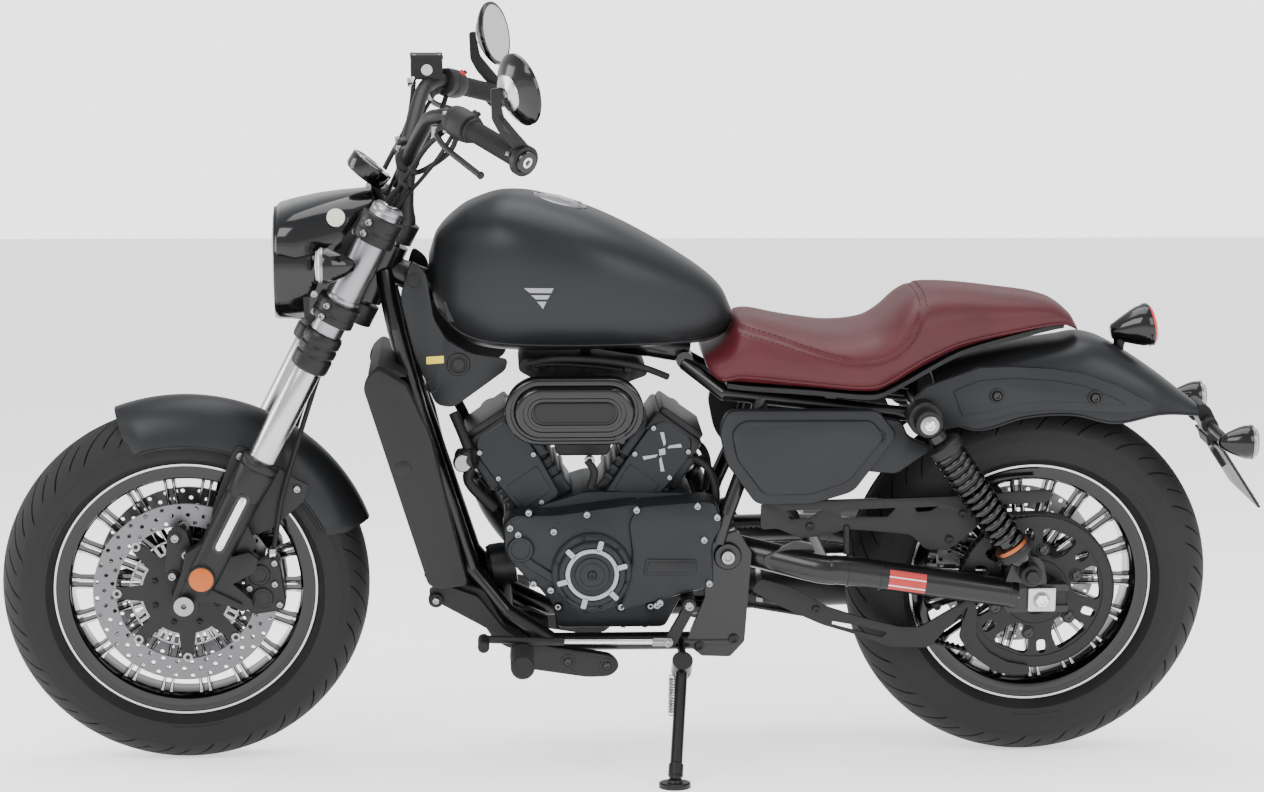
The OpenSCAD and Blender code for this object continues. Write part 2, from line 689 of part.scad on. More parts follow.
tank_top = [[428, 905], [442, 947], [483, 988], [520, 1006], [554, 1015], [601, 1014], [660, 1000],
    [719, 980], [789, 947], [860, 906], [907, 874], [937, 844], [952, 812]];
tank_bottom = [[428, 862], [442, 812], [483, 762], [554, 744], [719, 744], [895, 752], [940, 768],
    [952, 790]];
tank_width = [[428, 34], [442, 62], [483, 104], [554, 140], [640, 150], [719, 146], [800, 122], [880, 88],
    [930, 62], [952, 36]];

// The fuel tank, with a round recess for its filler cap
module fuel_tank() color("dimgray") parked() difference() {
    loft([for (t = steps(0, 180, 26)) let (x = tank_front + (tank_rear - tank_front) * (1 - cos(t)) / 2)
        body_ring(x, lookup(x, tank_bottom), lookup(x, tank_top), lookup(x, tank_width) * tank_w / 300,
            0.72, 36)]);
    translate([cap_x, 0, cap_z]) rotate([0, cap_tilt, 0]) translate([0, 0, -16])
        cylinder(r = cap_d / 2 + 1.2, h = 60);
    translate([cap_x, 0, cap_z]) rotate([0, cap_tilt, 0]) translate([0, 0, -40])
        cylinder(r = 24, h = 60);
    side_plate([[400, 700], [400, 902], [560, 826.3], [720, 796], [880, 774], [960, 768], [960, 700]], -30, 30);
}

// The hinged filler cap, flush with the top of the tank
module fuel_cap() color("silver") parked() translate([cap_x, 0, cap_z]) rotate([0, cap_tilt, 0]) {
    difference() {
        union() {
            translate([0, 0, -6]) cylinder(r = cap_d / 2, h = 9);
            translate([0, 0, -20]) cylinder(r = 16, h = 15);
            translate([-cap_d / 2 + 1, 3, 3]) rotate([90, 0, 0]) cylinder(r = 1.8, h = 6);
        }
        translate([cap_d / 2 - 12, 0, -7]) translate([-1, -20, 0]) cube([30, 40, 4]);
    }
}

seat_front = 903;
seat_rear = 1560;
seat_top = [[903, 738], [922, 747], [938, 760], [949, 778], [957, 796], [965, 802], [989, 803], [1030, 794], [1072, 786], [1131, 779], [1189, 786],
    [1222, 806], [1255, 838], [1301, 852], [1425, 842], [1507, 828], [1542, 806], [1560, 778]];
seat_bottom = [[903, 728], [913, 706], [935, 692], [1190, 675], [1212, 681], [1285, 722], [1349, 746],
    [1445, 771], [1531, 785], [1560, 772]];
seat_width = [[903, 84], [913, 104], [935, 116], [1000, 128], [1092, 144], [1170, 150], [1240, 138], [1320, 112],
    [1425, 96], [1500, 78], [1542, 52], [1560, 24]];

// The single seat with its raised pillion pad, a soft piece
module seat() color("darkred") parked()
    loft([for (t = steps(0, 180, 26)) let (x = seat_front + (seat_rear - seat_front) * (1 - cos(t)) / 2)
        body_ring(x, lookup(x, seat_bottom), lookup(x, seat_top),
            lookup(x, seat_width) * seat_w / 300, 0.7, 32)]);

// The panels below the seat on each side
module side_covers() color("dimgray") parked() both_sides() {
    soft_plate([[938, 654], [1198, 654], [1230, 613], [1156, 514], [1086, 492], [990, 492], [936, 565],
        [924, 623]], -140, -122, 8);
    soft_plate([[956, 640], [1190, 640], [1212, 611], [1148, 528], [1082, 507], [1000, 507], [952, 572],
        [942, 622]], -145, -139, 8);
    soft_plate([[1150, 600], [1190, 640], [1240, 632], [1252, 606], [1296, 585], [1233, 540], [1180, 545]],
        -128, -121, 6);
    across(989, 620, -124, -109.5, 8);
}

// ---- Rear end -----------------------------------------------------------------------------------

axle_half = 146;
arm_y = -140;

// The swingarm: two round arms on a cross tube, with flat ends that hold the spindle
module swingarm() color("black") parked() {
    difference() {
        union() {
            across(pivot_x, pivot_z, -78, 78, 30);
            both_sides() {
                bar([pivot_x, -56, pivot_z], [1110, arm_y, 375], 25.5);
                bar([1110, arm_y, 375], [1440, arm_y, rear_r + 3], 25);
                soft_plate([[1420, 346], [1530, 348], [1534, 300], [1420, 298]], arm_y - 12, arm_y + 12, 6);
                soft_plate([[1420, 340], [1445, 398], [1490, 392], [1505, 340]], arm_y - 12, arm_y + 12, 8);
            }
            across(1108, 375, arm_y, -arm_y, 16);
        }
        across(pivot_x, pivot_z, -200, 200, pivot_r + 0.1);
        across(wheelbase, rear_r, -200, 200, rear_axle_r + 0.1);
        translate([1108, 0, 0]) translate([0, -78, 300]) cube([800, 156, 200]);
    }
}

shock_top = [1278, 641];
shock_low = [1464, 373];
shock_y = -174;

// The two rear shock absorbers: damper, spring and eyes
module shock_absorbers() color("black") parked() both_sides() {
    a = [shock_low[0], shock_y, shock_low[1]];
    b = [shock_top[0], shock_y, shock_top[1]];
    u = (b - a) / norm(b - a);
    bar(a + u * 20, b - u * 20, 20);
    for (i = [0 : 12]) bar(a + u * (64 + 16.4 * i), a + u * (72 + 16.4 * i), 29);
    bar(a + u * 44, a + u * 62, 31);
    bar(b - u * 56, b - u * 42, 31);
    across(a.x, a.z, shock_y - 16, shock_y + 18, 20);
    across(b.x, b.z, shock_y - 18, shock_y + 18, 24);
    across(b.x, b.z, shock_y + 16, -148 - lay_gap, 11);
}

// The rear fender, a rounded arch over the wheel
module rear_fender() color("dimgray") parked() {
    top = [[1300, 706], [1349, 724], [1445, 745], [1531, 758], [1570, 764], [1613, 752], [1695, 702], [1778, 640]];
    edge = [[1300, 640], [1374, 612], [1458, 634], [1541, 638], [1618, 622], [1700, 634], [1778, 624]];
    half = [[1300, 99.6], [1500, 99.6], [1640, 92], [1700, 80], [1778, 40]];
    loft([for (x = steps(1300, 1778, 26))
        arch_ring(x, lookup(x, top), lookup(x, edge), lookup(x, half), 4, 0.62, 22)]);
}

// The struts outside the fender that carry its weight and the top of each shock absorber
module fender_struts() color("black") parked() both_sides() {
    soft_plate([[1262, 668], [1310, 694], [1374, 728], [1400, 710], [1470, 712], [1560, 702],
        [1679, 650], [1640, 644], [1560, 650], [1470, 652], [1400, 640], [1340, 628], [1290, 612]],
        -116, -100, 8);
    across(shock_top[0], shock_top[1], -148, -100, 30);
    across(1405, 668, -120, -114, 9);
    across(1576, 666, -120, -114, 9);
}

// The bullet tail light on the fender and the turn signals on their cross bar
module rear_lights() color("black") parked() {
    translate([1624, 0, 764]) rotate([0, 90 - 12, 0]) {
        cylinder(r1 = 14, r2 = 34, h = 46);
        translate([0, 0, 46]) cylinder(r1 = 34, r2 = 39, h = 24);
        translate([0, 0, 70]) cylinder(r1 = 37, r2 = 30, h = 10);
    }
    both_sides() translate([1778, -179, 607]) rotate([0, 90, 0]) {
        cylinder(r1 = 8, r2 = 28, h = 44);
        translate([0, 0, 44]) cylinder(r = 29, h = 14);
        translate([0, 0, 58]) cylinder(r1 = 28, r2 = 22, h = 7);
    }
    both_sides() across(1796, 607, -168, -34 - lay_gap, 8);
    bar([1640, 0, 770], [1640, 0, 742.2], 10);
}

// The plate holder below the tail, with a blank plate
module plate_holder() color("black") parked() {
    soft_plate([[1778.6, 640], [1778.6, 618], [1796, 590], [1806, 566], [1820, 566], [1818, 600],
        [1800, 634], [1790, 642]], -34, 34, 2);
    translate([1806, 0, 574]) rotate([0, -34, 0]) difference() {
        translate([0, -98, -130]) cube([5, 196, 128]);
        for (y = [-70, 70], z = [-110, -24]) translate([-1, y, z]) rotate([0, 90, 0])
            cylinder(r = 3.2, h = 8);
    }
}

// ---- Drive --------------------------------------------------------------------------------------

front_pulley_x = 890;
front_pulley_z = 395;

// The toothed drive belt, one closed loop round both pulleys
module drive_belt() color("black") parked() translate([0, belt_y + belt_half, 0]) rotate([90, 0, 0])
    linear_extrude(2 * belt_half) difference() {
        belt_outline(5);
        belt_outline(0);
    }

module belt_outline(extra) hull() {
    translate([front_pulley_x, front_pulley_z]) circle(r = front_pulley_r + belt_gap + extra, $fn = 72);
    translate([wheelbase, rear_r]) circle(r = pulley_r + belt_gap + extra, $fn = 128);
}

// The guards over and under the belt
module belt_guards() color("dimgray") parked() {
    difference() {
        soft_plate([[1012, 482], [1496, 495], [1500, 478], [1380, 470], [1340, 466], [1300, 434],
            [1000, 436]], belt_y - 22, belt_y + 13, 3);
        side_plate([[980, 420], [1010, 468], [1480, 478], [1480, 420]], belt_y - 18, belt_y + 15);
    }
    bar([1150, belt_y - 20, 446], [1150, belt_y - 36, 393.8], 6);
    soft_plate([[980, 312], [980, 296], [1290, 246], [1330, 218], [1360, 190], [1372, 200], [1340, 236],
        [1310, 262]], belt_y - 22, belt_y - 17, 3);
}

// ---- Exhaust and controls -----------------------------------------------------------------------

// Two header pipes on the right that run back into slash-cut mufflers
module exhaust() color("dimgray") parked() {
    for (side = [-1, 1]) across(port(side)[0], port(side)[1], 86 + lay_gap, 116, 27);
    pipe([[port(-1)[0], 110, port(-1)[1]], [518, 142, 566], [530, 172, 430], [600, 188, 330], [760, 188, 262],
        [980, 186, 250]], 24);
    pipe([[port(1)[0], 110, port(1)[1]], [872, 142, 566], [898, 172, 470], [930, 190, 400], [1000, 204, 352],
        [1060, 210, 345]], 24);
    difference() {
        union() {
            bar([960, 186, 250], [1560, 204, 262], 42);
            bar([1040, 210, 345], [1380, 214, 352], 42);
        }
        bar([1440, 200, 259.6], [1700, 209, 265], 30);
        bar([1290, 213, 350], [1460, 215, 354], 30);
    }
}

// Foot pegs, the shift lever with its rod, and the brake pedal
module foot_controls() color("black") parked() {
    both_sides() {
        bar([586, -cradle_half - 22, 228], [586, -cradle_half - 62, 232], 12);
        bar([586, -cradle_half - 56, 231], [586, -cradle_half - 150, 238], 21);
        soft_plate([[568, 240], [600, 246], [740, 220], [756, 200], [740, 184], [600, 200], [568, 208]],
            -cradle_half - 34, -cradle_half - tube_r - lay_gap, 8);
    }
    bar([636, -cradle_half - 44, 252], [839, -cradle_half - 44, 250], 5);
    bar([839, -cradle_half - 44, 250], [875, -cradle_half - 44, 312], 8);
    across(875, 316, -cradle_half - 52, -86, 12);
    bar([636, -cradle_half - 44, 252], [520, -cradle_half - 60, 262], 7);
    across(520, 262, -cradle_half - 110, -cradle_half - 58, 10);
    bar([640, cradle_half + 44, 232], [520, cradle_half + 60, 270], 8);
    across(512, 272, cradle_half + 40, cradle_half + 110, 12);
    across(640, 232, cradle_half + 24, cradle_half + 48, 12);
}

// The rear spindle with its nuts, chain-pull blocks and the spacers beside the hub
module rear_axle() color("silver") parked() translate([wheelbase, 0, rear_r]) {
    across(0, 0, arm_y - 20, -arm_y + 20, rear_axle_r);
    both_sides() {
        across(0, 0, arm_y - 26, arm_y - 20 + 1, 17);
        difference() {
            translate([-24, arm_y - 20, -21]) cube([50, 8 - lay_gap, 42]);
            across(0, 0, arm_y - 30, arm_y, rear_axle_r - 1);
        }
    }
    difference() {
        across(0, 0, arm_y + 12 + lay_gap, -73, rear_axle_r + 6);
        across(0, 0, -200, 0, rear_axle_r - 1);
    }
    difference() {
        across(0, 0, 73, -arm_y - 12 - lay_gap, rear_axle_r + 6);
        across(0, 0, 0, 200, rear_axle_r - 1);
    }
}

// The rear brake caliper on the right of the wheel
module rear_caliper() color("dimgray") parked() translate([wheelbase, 0, rear_r]) {
    difference() {
        rotate([0, 60, 0]) translate([-175, 50, -40]) cube([70, 60, 80]);
        across(0, 0, 72 - 3, 72 + disc_t + 4, 152);
    }
    difference() {
        side_plate([[-120, 90], [-84, 140], [-50, 120], [24, 18], [18, -20], [-18, -20]], 110, 114);
        across(0, 0, 100, 120, rear_axle_r + 6 + lay_gap);
    }
}

// Where the stand's pivot and foot are, and the direction of its pivot pin, square to the leg
stand_pivot = [stand_pivot_x, -cradle_half - 42, stand_pivot_z];
stand_foot_y = -314;
stand_foot_z = (-stand_foot_y * sin(lean_angle) - lean_lift) / cos(lean_angle);
stand_foot = [stand_pivot_x - 22, stand_foot_y, stand_foot_z];
stand_leg = (stand_foot - stand_pivot) / norm(stand_foot - stand_pivot);
stand_pin = cross(stand_leg, [1, 0, 0]) / norm(cross(stand_leg, [1, 0, 0]));

// The side stand, swung out under the left of the frame
module side_stand() color("black") parked() {
    difference() {
        union() {
            bar(stand_pivot - stand_pin * 8, stand_pivot + stand_pin * 8, 18);
            bar(stand_pivot + stand_leg * 4, stand_pivot + stand_leg * 30, 7.8);
            bar(stand_pivot + stand_leg * 22, stand_foot - stand_leg * 12, 11);
        }
        bar(stand_pivot - stand_pin * 20, stand_pivot + stand_pin * 20, stand_pin_r + axle_gap);
    }
    translate(stand_foot) rotate([-lean_angle, 0, 0]) cylinder(r = 27, h = 10);
    bar(stand_foot - stand_leg * 44, stand_foot - stand_leg * 22, 13);
}

// ---- Drawing ------------------------------------------------------------------------------------

frame_tubes();
crankcase();
front_cylinder();
rear_cylinder();
air_box();
air_filter_cover();
radiator();
chin_cover();
neck_covers();
fuel_tank();
seat();
side_covers();
swingarm();
shock_absorbers();
rear_fender();
fender_struts();
rear_lights();
plate_holder();
drive_belt();
belt_guards();
exhaust();
foot_controls();
rear_axle();
rear_caliper();
fuel_cap();
triple_clamps();
fork_legs();
front_axle();
front_fender();
headlight();
front_signals();
handlebar();
grips();
hand_controls();
mirrors();
instrument();
front_calipers();
brake_hoses();
front_tyre();
front_wheel();
front_discs();
rear_tyre();
rear_wheel();
rear_pulley();
side_stand();
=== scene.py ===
"""The looks of the parked cruiser motorcycle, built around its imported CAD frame.

Shapes are written in the bike's own upright frame, in millimetres: X runs rearwards from the front
spindle, Y to the rider's right and Z up from the ground. PARKED and STEERED put them in the row frame.
"""
import json
from math import acos, atan2, cos, degrees, pi, radians, sin, sqrt

import bmesh
import bpy
from mathutils import Matrix, Vector
from mathutils.bvhtree import BVHTree

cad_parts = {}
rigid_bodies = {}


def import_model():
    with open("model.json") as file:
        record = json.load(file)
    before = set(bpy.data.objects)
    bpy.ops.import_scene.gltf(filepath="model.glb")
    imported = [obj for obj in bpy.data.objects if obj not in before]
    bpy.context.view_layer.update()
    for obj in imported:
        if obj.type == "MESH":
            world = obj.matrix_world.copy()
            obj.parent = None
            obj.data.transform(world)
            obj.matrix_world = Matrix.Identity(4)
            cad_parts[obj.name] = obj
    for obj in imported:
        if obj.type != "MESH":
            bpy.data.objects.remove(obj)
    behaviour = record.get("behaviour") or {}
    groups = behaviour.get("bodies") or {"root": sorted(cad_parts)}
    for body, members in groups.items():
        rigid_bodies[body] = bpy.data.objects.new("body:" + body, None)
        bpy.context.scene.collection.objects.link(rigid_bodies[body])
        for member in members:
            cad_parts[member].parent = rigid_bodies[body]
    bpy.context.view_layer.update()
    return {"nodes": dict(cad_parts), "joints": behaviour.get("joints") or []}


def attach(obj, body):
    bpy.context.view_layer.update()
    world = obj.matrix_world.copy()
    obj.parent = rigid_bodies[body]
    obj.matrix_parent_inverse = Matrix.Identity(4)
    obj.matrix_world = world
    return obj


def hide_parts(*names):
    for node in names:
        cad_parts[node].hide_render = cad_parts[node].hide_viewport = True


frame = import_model()
JOINTS = {joint["name"]: joint for joint in frame["joints"]}

# ---- Driving sizes, in millimetres and degrees ---------------------------------------------------
LEAN, STEER, RAKE = radians(8), radians(3), radians(27)
WHEELBASE = 1487.0
FRONT_R, FRONT_W, FRONT_RIM = 320.0, 130.0, 229.0
REAR_R, REAR_W, REAR_RIM = 323.0, 150.0, 216.0
FORK_X, FORK_HALF, FORK_OFFSET = 10.0, 104.0, 40.0
STEER_X = FORK_X + FORK_OFFSET / cos(RAKE)
LIFT = REAR_W / 2 * (1 - cos(LEAN))

MM = Matrix.Scale(0.001, 4)
rear_hub = Vector(JOINTS["rear_wheel_spin"]["pos_m"])
upright_hub = Matrix.Rotation(LEAN, 4, "X") @ Vector((WHEELBASE, 0, REAR_R)) / 1000
PARKED = Matrix.Translation(rear_hub - upright_hub) @ Matrix.Rotation(LEAN, 4, "X") @ MM
STEER_AXIS = Vector((sin(RAKE), 0, cos(RAKE)))
STEER_FOOT = Vector((STEER_X, 0, FRONT_R))
STEERED = (PARKED @ Matrix.Translation(STEER_FOOT) @ Matrix.Rotation(STEER, 4, STEER_AXIS)
           @ Matrix.Translation(-STEER_FOOT))
ALONG_FORK = Matrix.Translation((FORK_X, 0, FRONT_R)) @ Matrix.Rotation(RAKE, 4, "Y")


def tilted(at, turn):
    """A place turned about the bike's cross axis by some degrees."""
    return Matrix.Translation(at) @ Matrix.Rotation(radians(turn), 4, "Y")


def up_fork(z):
    """Distance up the fork at which a height above the ground is reached."""
    return (z - FRONT_R) / cos(RAKE)


CRANK, VEE_HALF = (695, 378), radians(35)
ALTERNATOR, CLUTCH = (707, 373), (824, 398)
FILTER = (676, 657)
PIVOT = (943, 395)
SHOCK_LOW, SHOCK_TOP = (1464, 373), (1278, 641)
STAND_PIVOT, STAND_FOOT = Vector((864, -147, 205)), (842, -314)
TANK_ROUND, FENDER_ROUND = 0.72, 0.62

# ---- Materials -----------------------------------------------------------------------------------

def material(name, color, rough=0.5, metal=0.0, coat=0.0, vary=0.12, grain=400.0, bump=0.05,
             rough_vary=0.08, edge=0.0, ior=1.5, spec=0.3):
    """A principled surface with its own colour drift, uneven gloss, fine grain and rounded edges."""
    mat = bpy.data.materials.new(name)
    mat.use_nodes = True
    nodes, links = mat.node_tree.nodes, mat.node_tree.links
    bsdf = nodes["Principled BSDF"]
    bsdf.inputs["Metallic"].default_value = metal
    bsdf.inputs["Coat Weight"].default_value = coat
    bsdf.inputs["Coat Roughness"].default_value = 0.06
    bsdf.inputs["IOR"].default_value = ior
    bsdf.inputs["Specular IOR Level"].default_value = spec
    place = nodes.new("ShaderNodeTexCoord")
    drift = nodes.new("ShaderNodeTexNoise")
    drift.inputs["Scale"].default_value = 9
    drift.inputs["Detail"].default_value = 5
    fine = nodes.new("ShaderNodeTexNoise")
    fine.inputs["Scale"].default_value = grain
    fine.inputs["Detail"].default_value = 3
    for tex in (drift, fine):
        links.new(place.outputs["Object"], tex.inputs["Vector"])
    ramp = nodes.new("ShaderNodeValToRGB")
    ramp.color_ramp.elements[0].position = 0.3
    ramp.color_ramp.elements[1].position = 0.72
    ramp.color_ramp.elements[0].color = [c * (1 - vary) for c in color] + [1]
    ramp.color_ramp.elements[1].color = [min(1, c * (1 + vary)) for c in color] + [1]
    links.new(drift.outputs["Fac"], ramp.inputs["Fac"])
    links.new(ramp.outputs["Color"], bsdf.inputs["Base Color"])
    spread = nodes.new("ShaderNodeMapRange")
    spread.inputs["To Min"].default_value = max(0.02, rough - rough_vary)
    spread.inputs["To Max"].default_value = min(1, rough + rough_vary)
    links.new(drift.outputs["Fac"], spread.inputs["Value"])
    links.new(spread.outputs["Result"], bsdf.inputs["Roughness"])
    relief = nodes.new("ShaderNodeBump")
    relief.inputs["Strength"].default_value = bump
    relief.inputs["Distance"].default_value = 0.001
    links.new(fine.outputs["Fac"], relief.inputs["Height"])
    if edge:
        rounding = nodes.new("ShaderNodeBevel")
        rounding.samples = 4
        rounding.inputs["Radius"].default_value = edge / 1000
        links.new(rounding.outputs["Normal"], relief.inputs["Normal"])
    links.new(relief.outputs["Normal"], bsdf.inputs["Normal"])
    return mat


def leather(name, color):
    """Dyed leather: a pebbled grain over soft creases."""
    mat = material(name, color, rough=0.46, vary=0.16, grain=900, bump=0.2)
    nodes, links = mat.node_tree.nodes, mat.node_tree.links
    cells = nodes.new("ShaderNodeTexVoronoi")
    cells.feature = "DISTANCE_TO_EDGE"
    cells.inputs["Scale"].default_value = 520
    place = next(n for n in nodes if n.type == "TEX_COORD")
    relief = next(n for n in nodes if n.type == "BUMP")
    links.new(place.outputs["Object"], cells.inputs["Vector"])
    pebble = nodes.new("ShaderNodeBump")
    pebble.inputs["Strength"].default_value = 0.22
    pebble.inputs["Distance"].default_value = 0.0008
    links.new(cells.outputs["Distance"], pebble.inputs["Height"])
    links.new(pebble.outputs["Normal"], relief.inputs["Normal"])
    return mat


def lamp_glass(name, color, rough=0.05):
    """Clear or tinted lens plastic."""
    mat = material(name, color, rough=rough, vary=0.02, bump=0.01, rough_vary=0.02, ior=1.49)
    bsdf = mat.node_tree.nodes["Principled BSDF"]
    bsdf.inputs["Transmission Weight"].default_value = 0.92
    return mat


GRAPHITE = material("graphite_paint", (0.020, 0.0205, 0.022), rough=0.4, metal=0.5, grain=2500, bump=0.03,
                    vary=0.05, rough_vary=0.04)
ENGINE = material("engine_paint", (0.017, 0.0185, 0.0205), rough=0.42, metal=0.45, grain=1400, bump=0.12, edge=1.5)
FRAME_BLACK = material("frame_paint", (0.004, 0.004, 0.0043), rough=0.3, coat=0.25, grain=600, bump=0.04, edge=1.0)
SATIN_BLACK = material("satin_black", (0.006, 0.006, 0.0065), rough=0.42, grain=900, bump=0.08, edge=0.8)
PLASTIC = material("moulded_plastic", (0.008, 0.0082, 0.0086), rough=0.55, grain=1600, bump=0.22, edge=0.8)
PANEL = material("panel_grey", (0.0155, 0.016, 0.0175), rough=0.45, metal=0.3, grain=1500, bump=0.1, edge=0.8)
GLOSS = material("gloss_black", (0.0025, 0.0025, 0.003), rough=0.14, coat=0.3, grain=300, bump=0.01,
                 rough_vary=0.03)
CHROME = material("bright_chrome", (0.72, 0.73, 0.75), rough=0.14, metal=1.0, vary=0.04, bump=0.01,
                  rough_vary=0.04)
STEEL = material("brushed_steel", (0.27, 0.27, 0.28), rough=0.3, metal=1.0, vary=0.08, grain=1800, bump=0.08)
DISC = material("disc_steel_grey", (0.15, 0.15, 0.155), rough=0.36, metal=1.0, vary=0.08, grain=2600, bump=0.08)
MACHINED = material("machined_alloy", (0.5, 0.5, 0.51), rough=0.24, metal=1.0, vary=0.06, grain=2200,
                    bump=0.05)
TYRE = material("tyre_rubber", (0.0095, 0.0095, 0.010), rough=0.72, vary=0.2, grain=1300, bump=0.25)
RUBBER = material("rubber_parts", (0.006, 0.006, 0.006), rough=0.62, grain=1500, bump=0.2)
LEATHER = leather("seat_leather", (0.062, 0.0072, 0.0105))
THREAD = material("seat_thread", (0.045, 0.006, 0.009), rough=0.6, grain=3000, bump=0.4)
AMBER = material("amber_reflector", (0.42, 0.085, 0.004), rough=0.3, coat=0.2, grain=900, bump=0.4)
RED_LENS = material("red_lens", (0.62, 0.01, 0.012), rough=0.1, coat=0.9, grain=700, bump=0.15)
CLEAR_LENS = lamp_glass("clear_lens", (0.93, 0.94, 0.95))
FROSTED = material("frosted_lens", (0.55, 0.56, 0.58), rough=0.18, metal=0.3, coat=0.8, grain=500, bump=0.3)
CREAM = material("cream_badge", (0.72, 0.7, 0.62), rough=0.35, coat=0.4)
WARM_RED = material("red_button", (0.45, 0.02, 0.03), rough=0.4)
BLANK_LABEL = material("blank_label", (0.72, 0.55, 0.06), rough=0.4)
LABEL_RED = material("red_label", (0.42, 0.03, 0.03), rough=0.4)
LABEL_WHITE = material("white_label", (0.7, 0.7, 0.69), rough=0.4)
MIRROR = material("mirror_glass", (0.86, 0.87, 0.88), rough=0.02, metal=1.0, vary=0.0, bump=0.0,
                  rough_vary=0.0)
COPPER = material("copper_shim", (0.3, 0.1, 0.04), rough=0.35, metal=1.0)
PLATE = material("blank_plate", (0.55, 0.56, 0.57), rough=0.4, vary=0.03)


# ---- Shape tools ---------------------------------------------------------------------------------

class Shape:
    """A mesh being put together out of simple parts, each with its own material."""

    def __init__(self, name):
        self.name = name
        self.bm = bmesh.new()
        self.mats = []

    def _slot(self, mat):
        if mat not in self.mats:
            self.mats.append(mat)
        return self.mats.index(mat)

    def grid(self, rows, mat, closed=True, caps=True, wrap=False):
        """Skins a list of rows of points. closed joins each row's ends and wrap joins first to last."""
        bm, index = self.bm, self._slot(mat)
        made = [[bm.verts.new(p) for p in row] for row in rows]
        count = len(rows[0])
        pairs = list(zip(made, made[1:])) + ([(made[-1], made[0])] if wrap else [])
        faces = []
        for low, high in pairs:
            for j in range(count if closed else count - 1):
                k = (j + 1) % count
                faces.append(bm.faces.new((low[j], low[k], high[k], high[j])))
        if caps and closed and not wrap:
            faces.append(bm.faces.new(list(reversed(made[0]))))
            faces.append(bm.faces.new(made[-1]))
        for face in faces:
            face.material_index = index
        return faces

    def turned(self, profile, place, mat, sides=48):
        """A solid of revolution about the place's Z, from points of (distance along Z, radius)."""
        rows = []
        for along, radius in profile:
            rows.append([place @ Vector((radius * cos(2 * pi * j / sides), radius * sin(2 * pi * j / sides), along))
                         for j in range(sides)])
        self.grid(rows, mat)

    def rod(self, a, b, radius, mat, sides=24, chamfer=0.0):
        """A straight round bar from a to b with chamfered ends."""
        place, length = toward(a, b)
        c = chamfer
        profile = [(0, radius - c), (c, radius), (length - c, radius), (length, radius - c)] if c else \
            [(0, radius), (length, radius)]
        self.turned(profile, place, mat, sides)

    def pin(self, x, z, y0, y1, radius, mat, sides=24, chamfer=0.0):
        """A round bar straight across the bike."""
        self.rod((x, y0, z), (x, y1, z), radius, mat, sides, chamfer)

    def tube(self, points, radius, mat, sides=12, steps=8):
        """A bent tube along the smooth curve through the points."""
        path = smooth_path(points, steps)
        normal = None
        rows = []
        for i, here in enumerate(path):
            along = (path[min(i + 1, len(path) - 1)] - path[max(i - 1, 0)]).normalized()
            if normal is None:
                normal = along.orthogonal().normalized()
            normal = (normal - along * normal.dot(along)).normalized()
            other = along.cross(normal)
            rows.append([here + radius * (cos(2 * pi * j / sides) * normal + sin(2 * pi * j / sides) * other)
                         for j in range(sides)])
        self.grid(rows, mat)

    def slab(self, outline, y0, y1, mat, place=None):
        """A flat plate in the side view between two distances from the centre plane."""
        place = place or Matrix.Identity(4)
        rows = [[place @ Vector((x, y, z)) for x, z in outline] for y in (y0, y1)]
        self.grid(rows, mat)

    def block(self, low, high, mat, place=None):
        """A box between two corners."""
        self.slab([(low[0], low[2]), (high[0], low[2]), (high[0], high[2]), (low[0], high[2])],
                  low[1], high[1], mat, place)

    def ring(self, inner_r, outer_r, y0, y1, mat, sides):
        """A square-edged ring about the spindle."""
        self.grid(spin([(inner_r, y0), (outer_r, y0), (outer_r, y1), (inner_r, y1)], sides), mat, wrap=True)

    def bolt(self, at, out, radius, mat, height=5.0):
        """A socket-headed bolt whose head stands out of a face."""
        place, _ = toward(Vector(at), Vector(at) + Vector(out))
        self.turned([(0, radius), (height * 0.75, radius), (height, radius * 0.8), (height, radius * 0.5),
                     (height * 0.45, radius * 0.48)], place, mat, 18)

    def bolts(self, spots, y, radius, mat, height):
        """Bolts at points of the side view, standing out of a face at a distance from the centre plane."""
        for x, z in spots:
            self.bolt((x, y, z), (0, 1 if y > 0 else -1, 0), radius, mat, height)

    def made(self, body, place=PARKED, slot=None, smooth=35, bevel=0.0, replaces=()):
        """Turns the parts into one object on a body, in the row frame."""
        bmesh.ops.recalc_face_normals(self.bm, faces=self.bm.faces)
        mesh = bpy.data.meshes.new(self.name)
        self.bm.to_mesh(mesh)
        self.bm.free()
        mesh.transform(place)
        obj = bpy.data.objects.new(self.name, mesh)
        bpy.context.scene.collection.objects.link(obj)
        for mat in self.mats:
            mesh.materials.append(mat)
        if bevel:
            mod = obj.modifiers.new("bevel", "BEVEL")
            mod.width = bevel / 1000
            mod.segments = 2
            mod.limit_method = "ANGLE"
            mod.angle_limit = radians(38)
            apply_modifiers(obj)
        obj.data.polygons.foreach_set("use_smooth", [True] * len(obj.data.polygons))
        obj.data.set_sharp_from_angle(angle=radians(smooth))
        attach(obj, body)
        if replaces:
            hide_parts(*replaces)
        return obj


def apply_modifiers(obj):
    """Makes an object's modifiers part of its mesh."""
    bpy.context.view_layer.update()
    done = bpy.data.meshes.new_from_object(obj.evaluated_get(bpy.context.evaluated_depsgraph_get()))
    obj.modifiers.clear()
    old = obj.data
    obj.data = done
    bpy.data.meshes.remove(old)


def toward(a, b):
    """A frame at a whose Z points to b, and the distance between them."""
    a, b = Vector(a), Vector(b)
    along = b - a
    return Matrix.Translation(a) @ along.to_track_quat("Z", "Y").to_matrix().to_4x4(), along.length


def across(x, z, y=0.0):
    """A frame whose Z points to the rider's left, towards the near side, at a point of the side view."""
    return Matrix.Translation((x, y, z)) @ Matrix.Rotation(pi / 2, 4, "X")


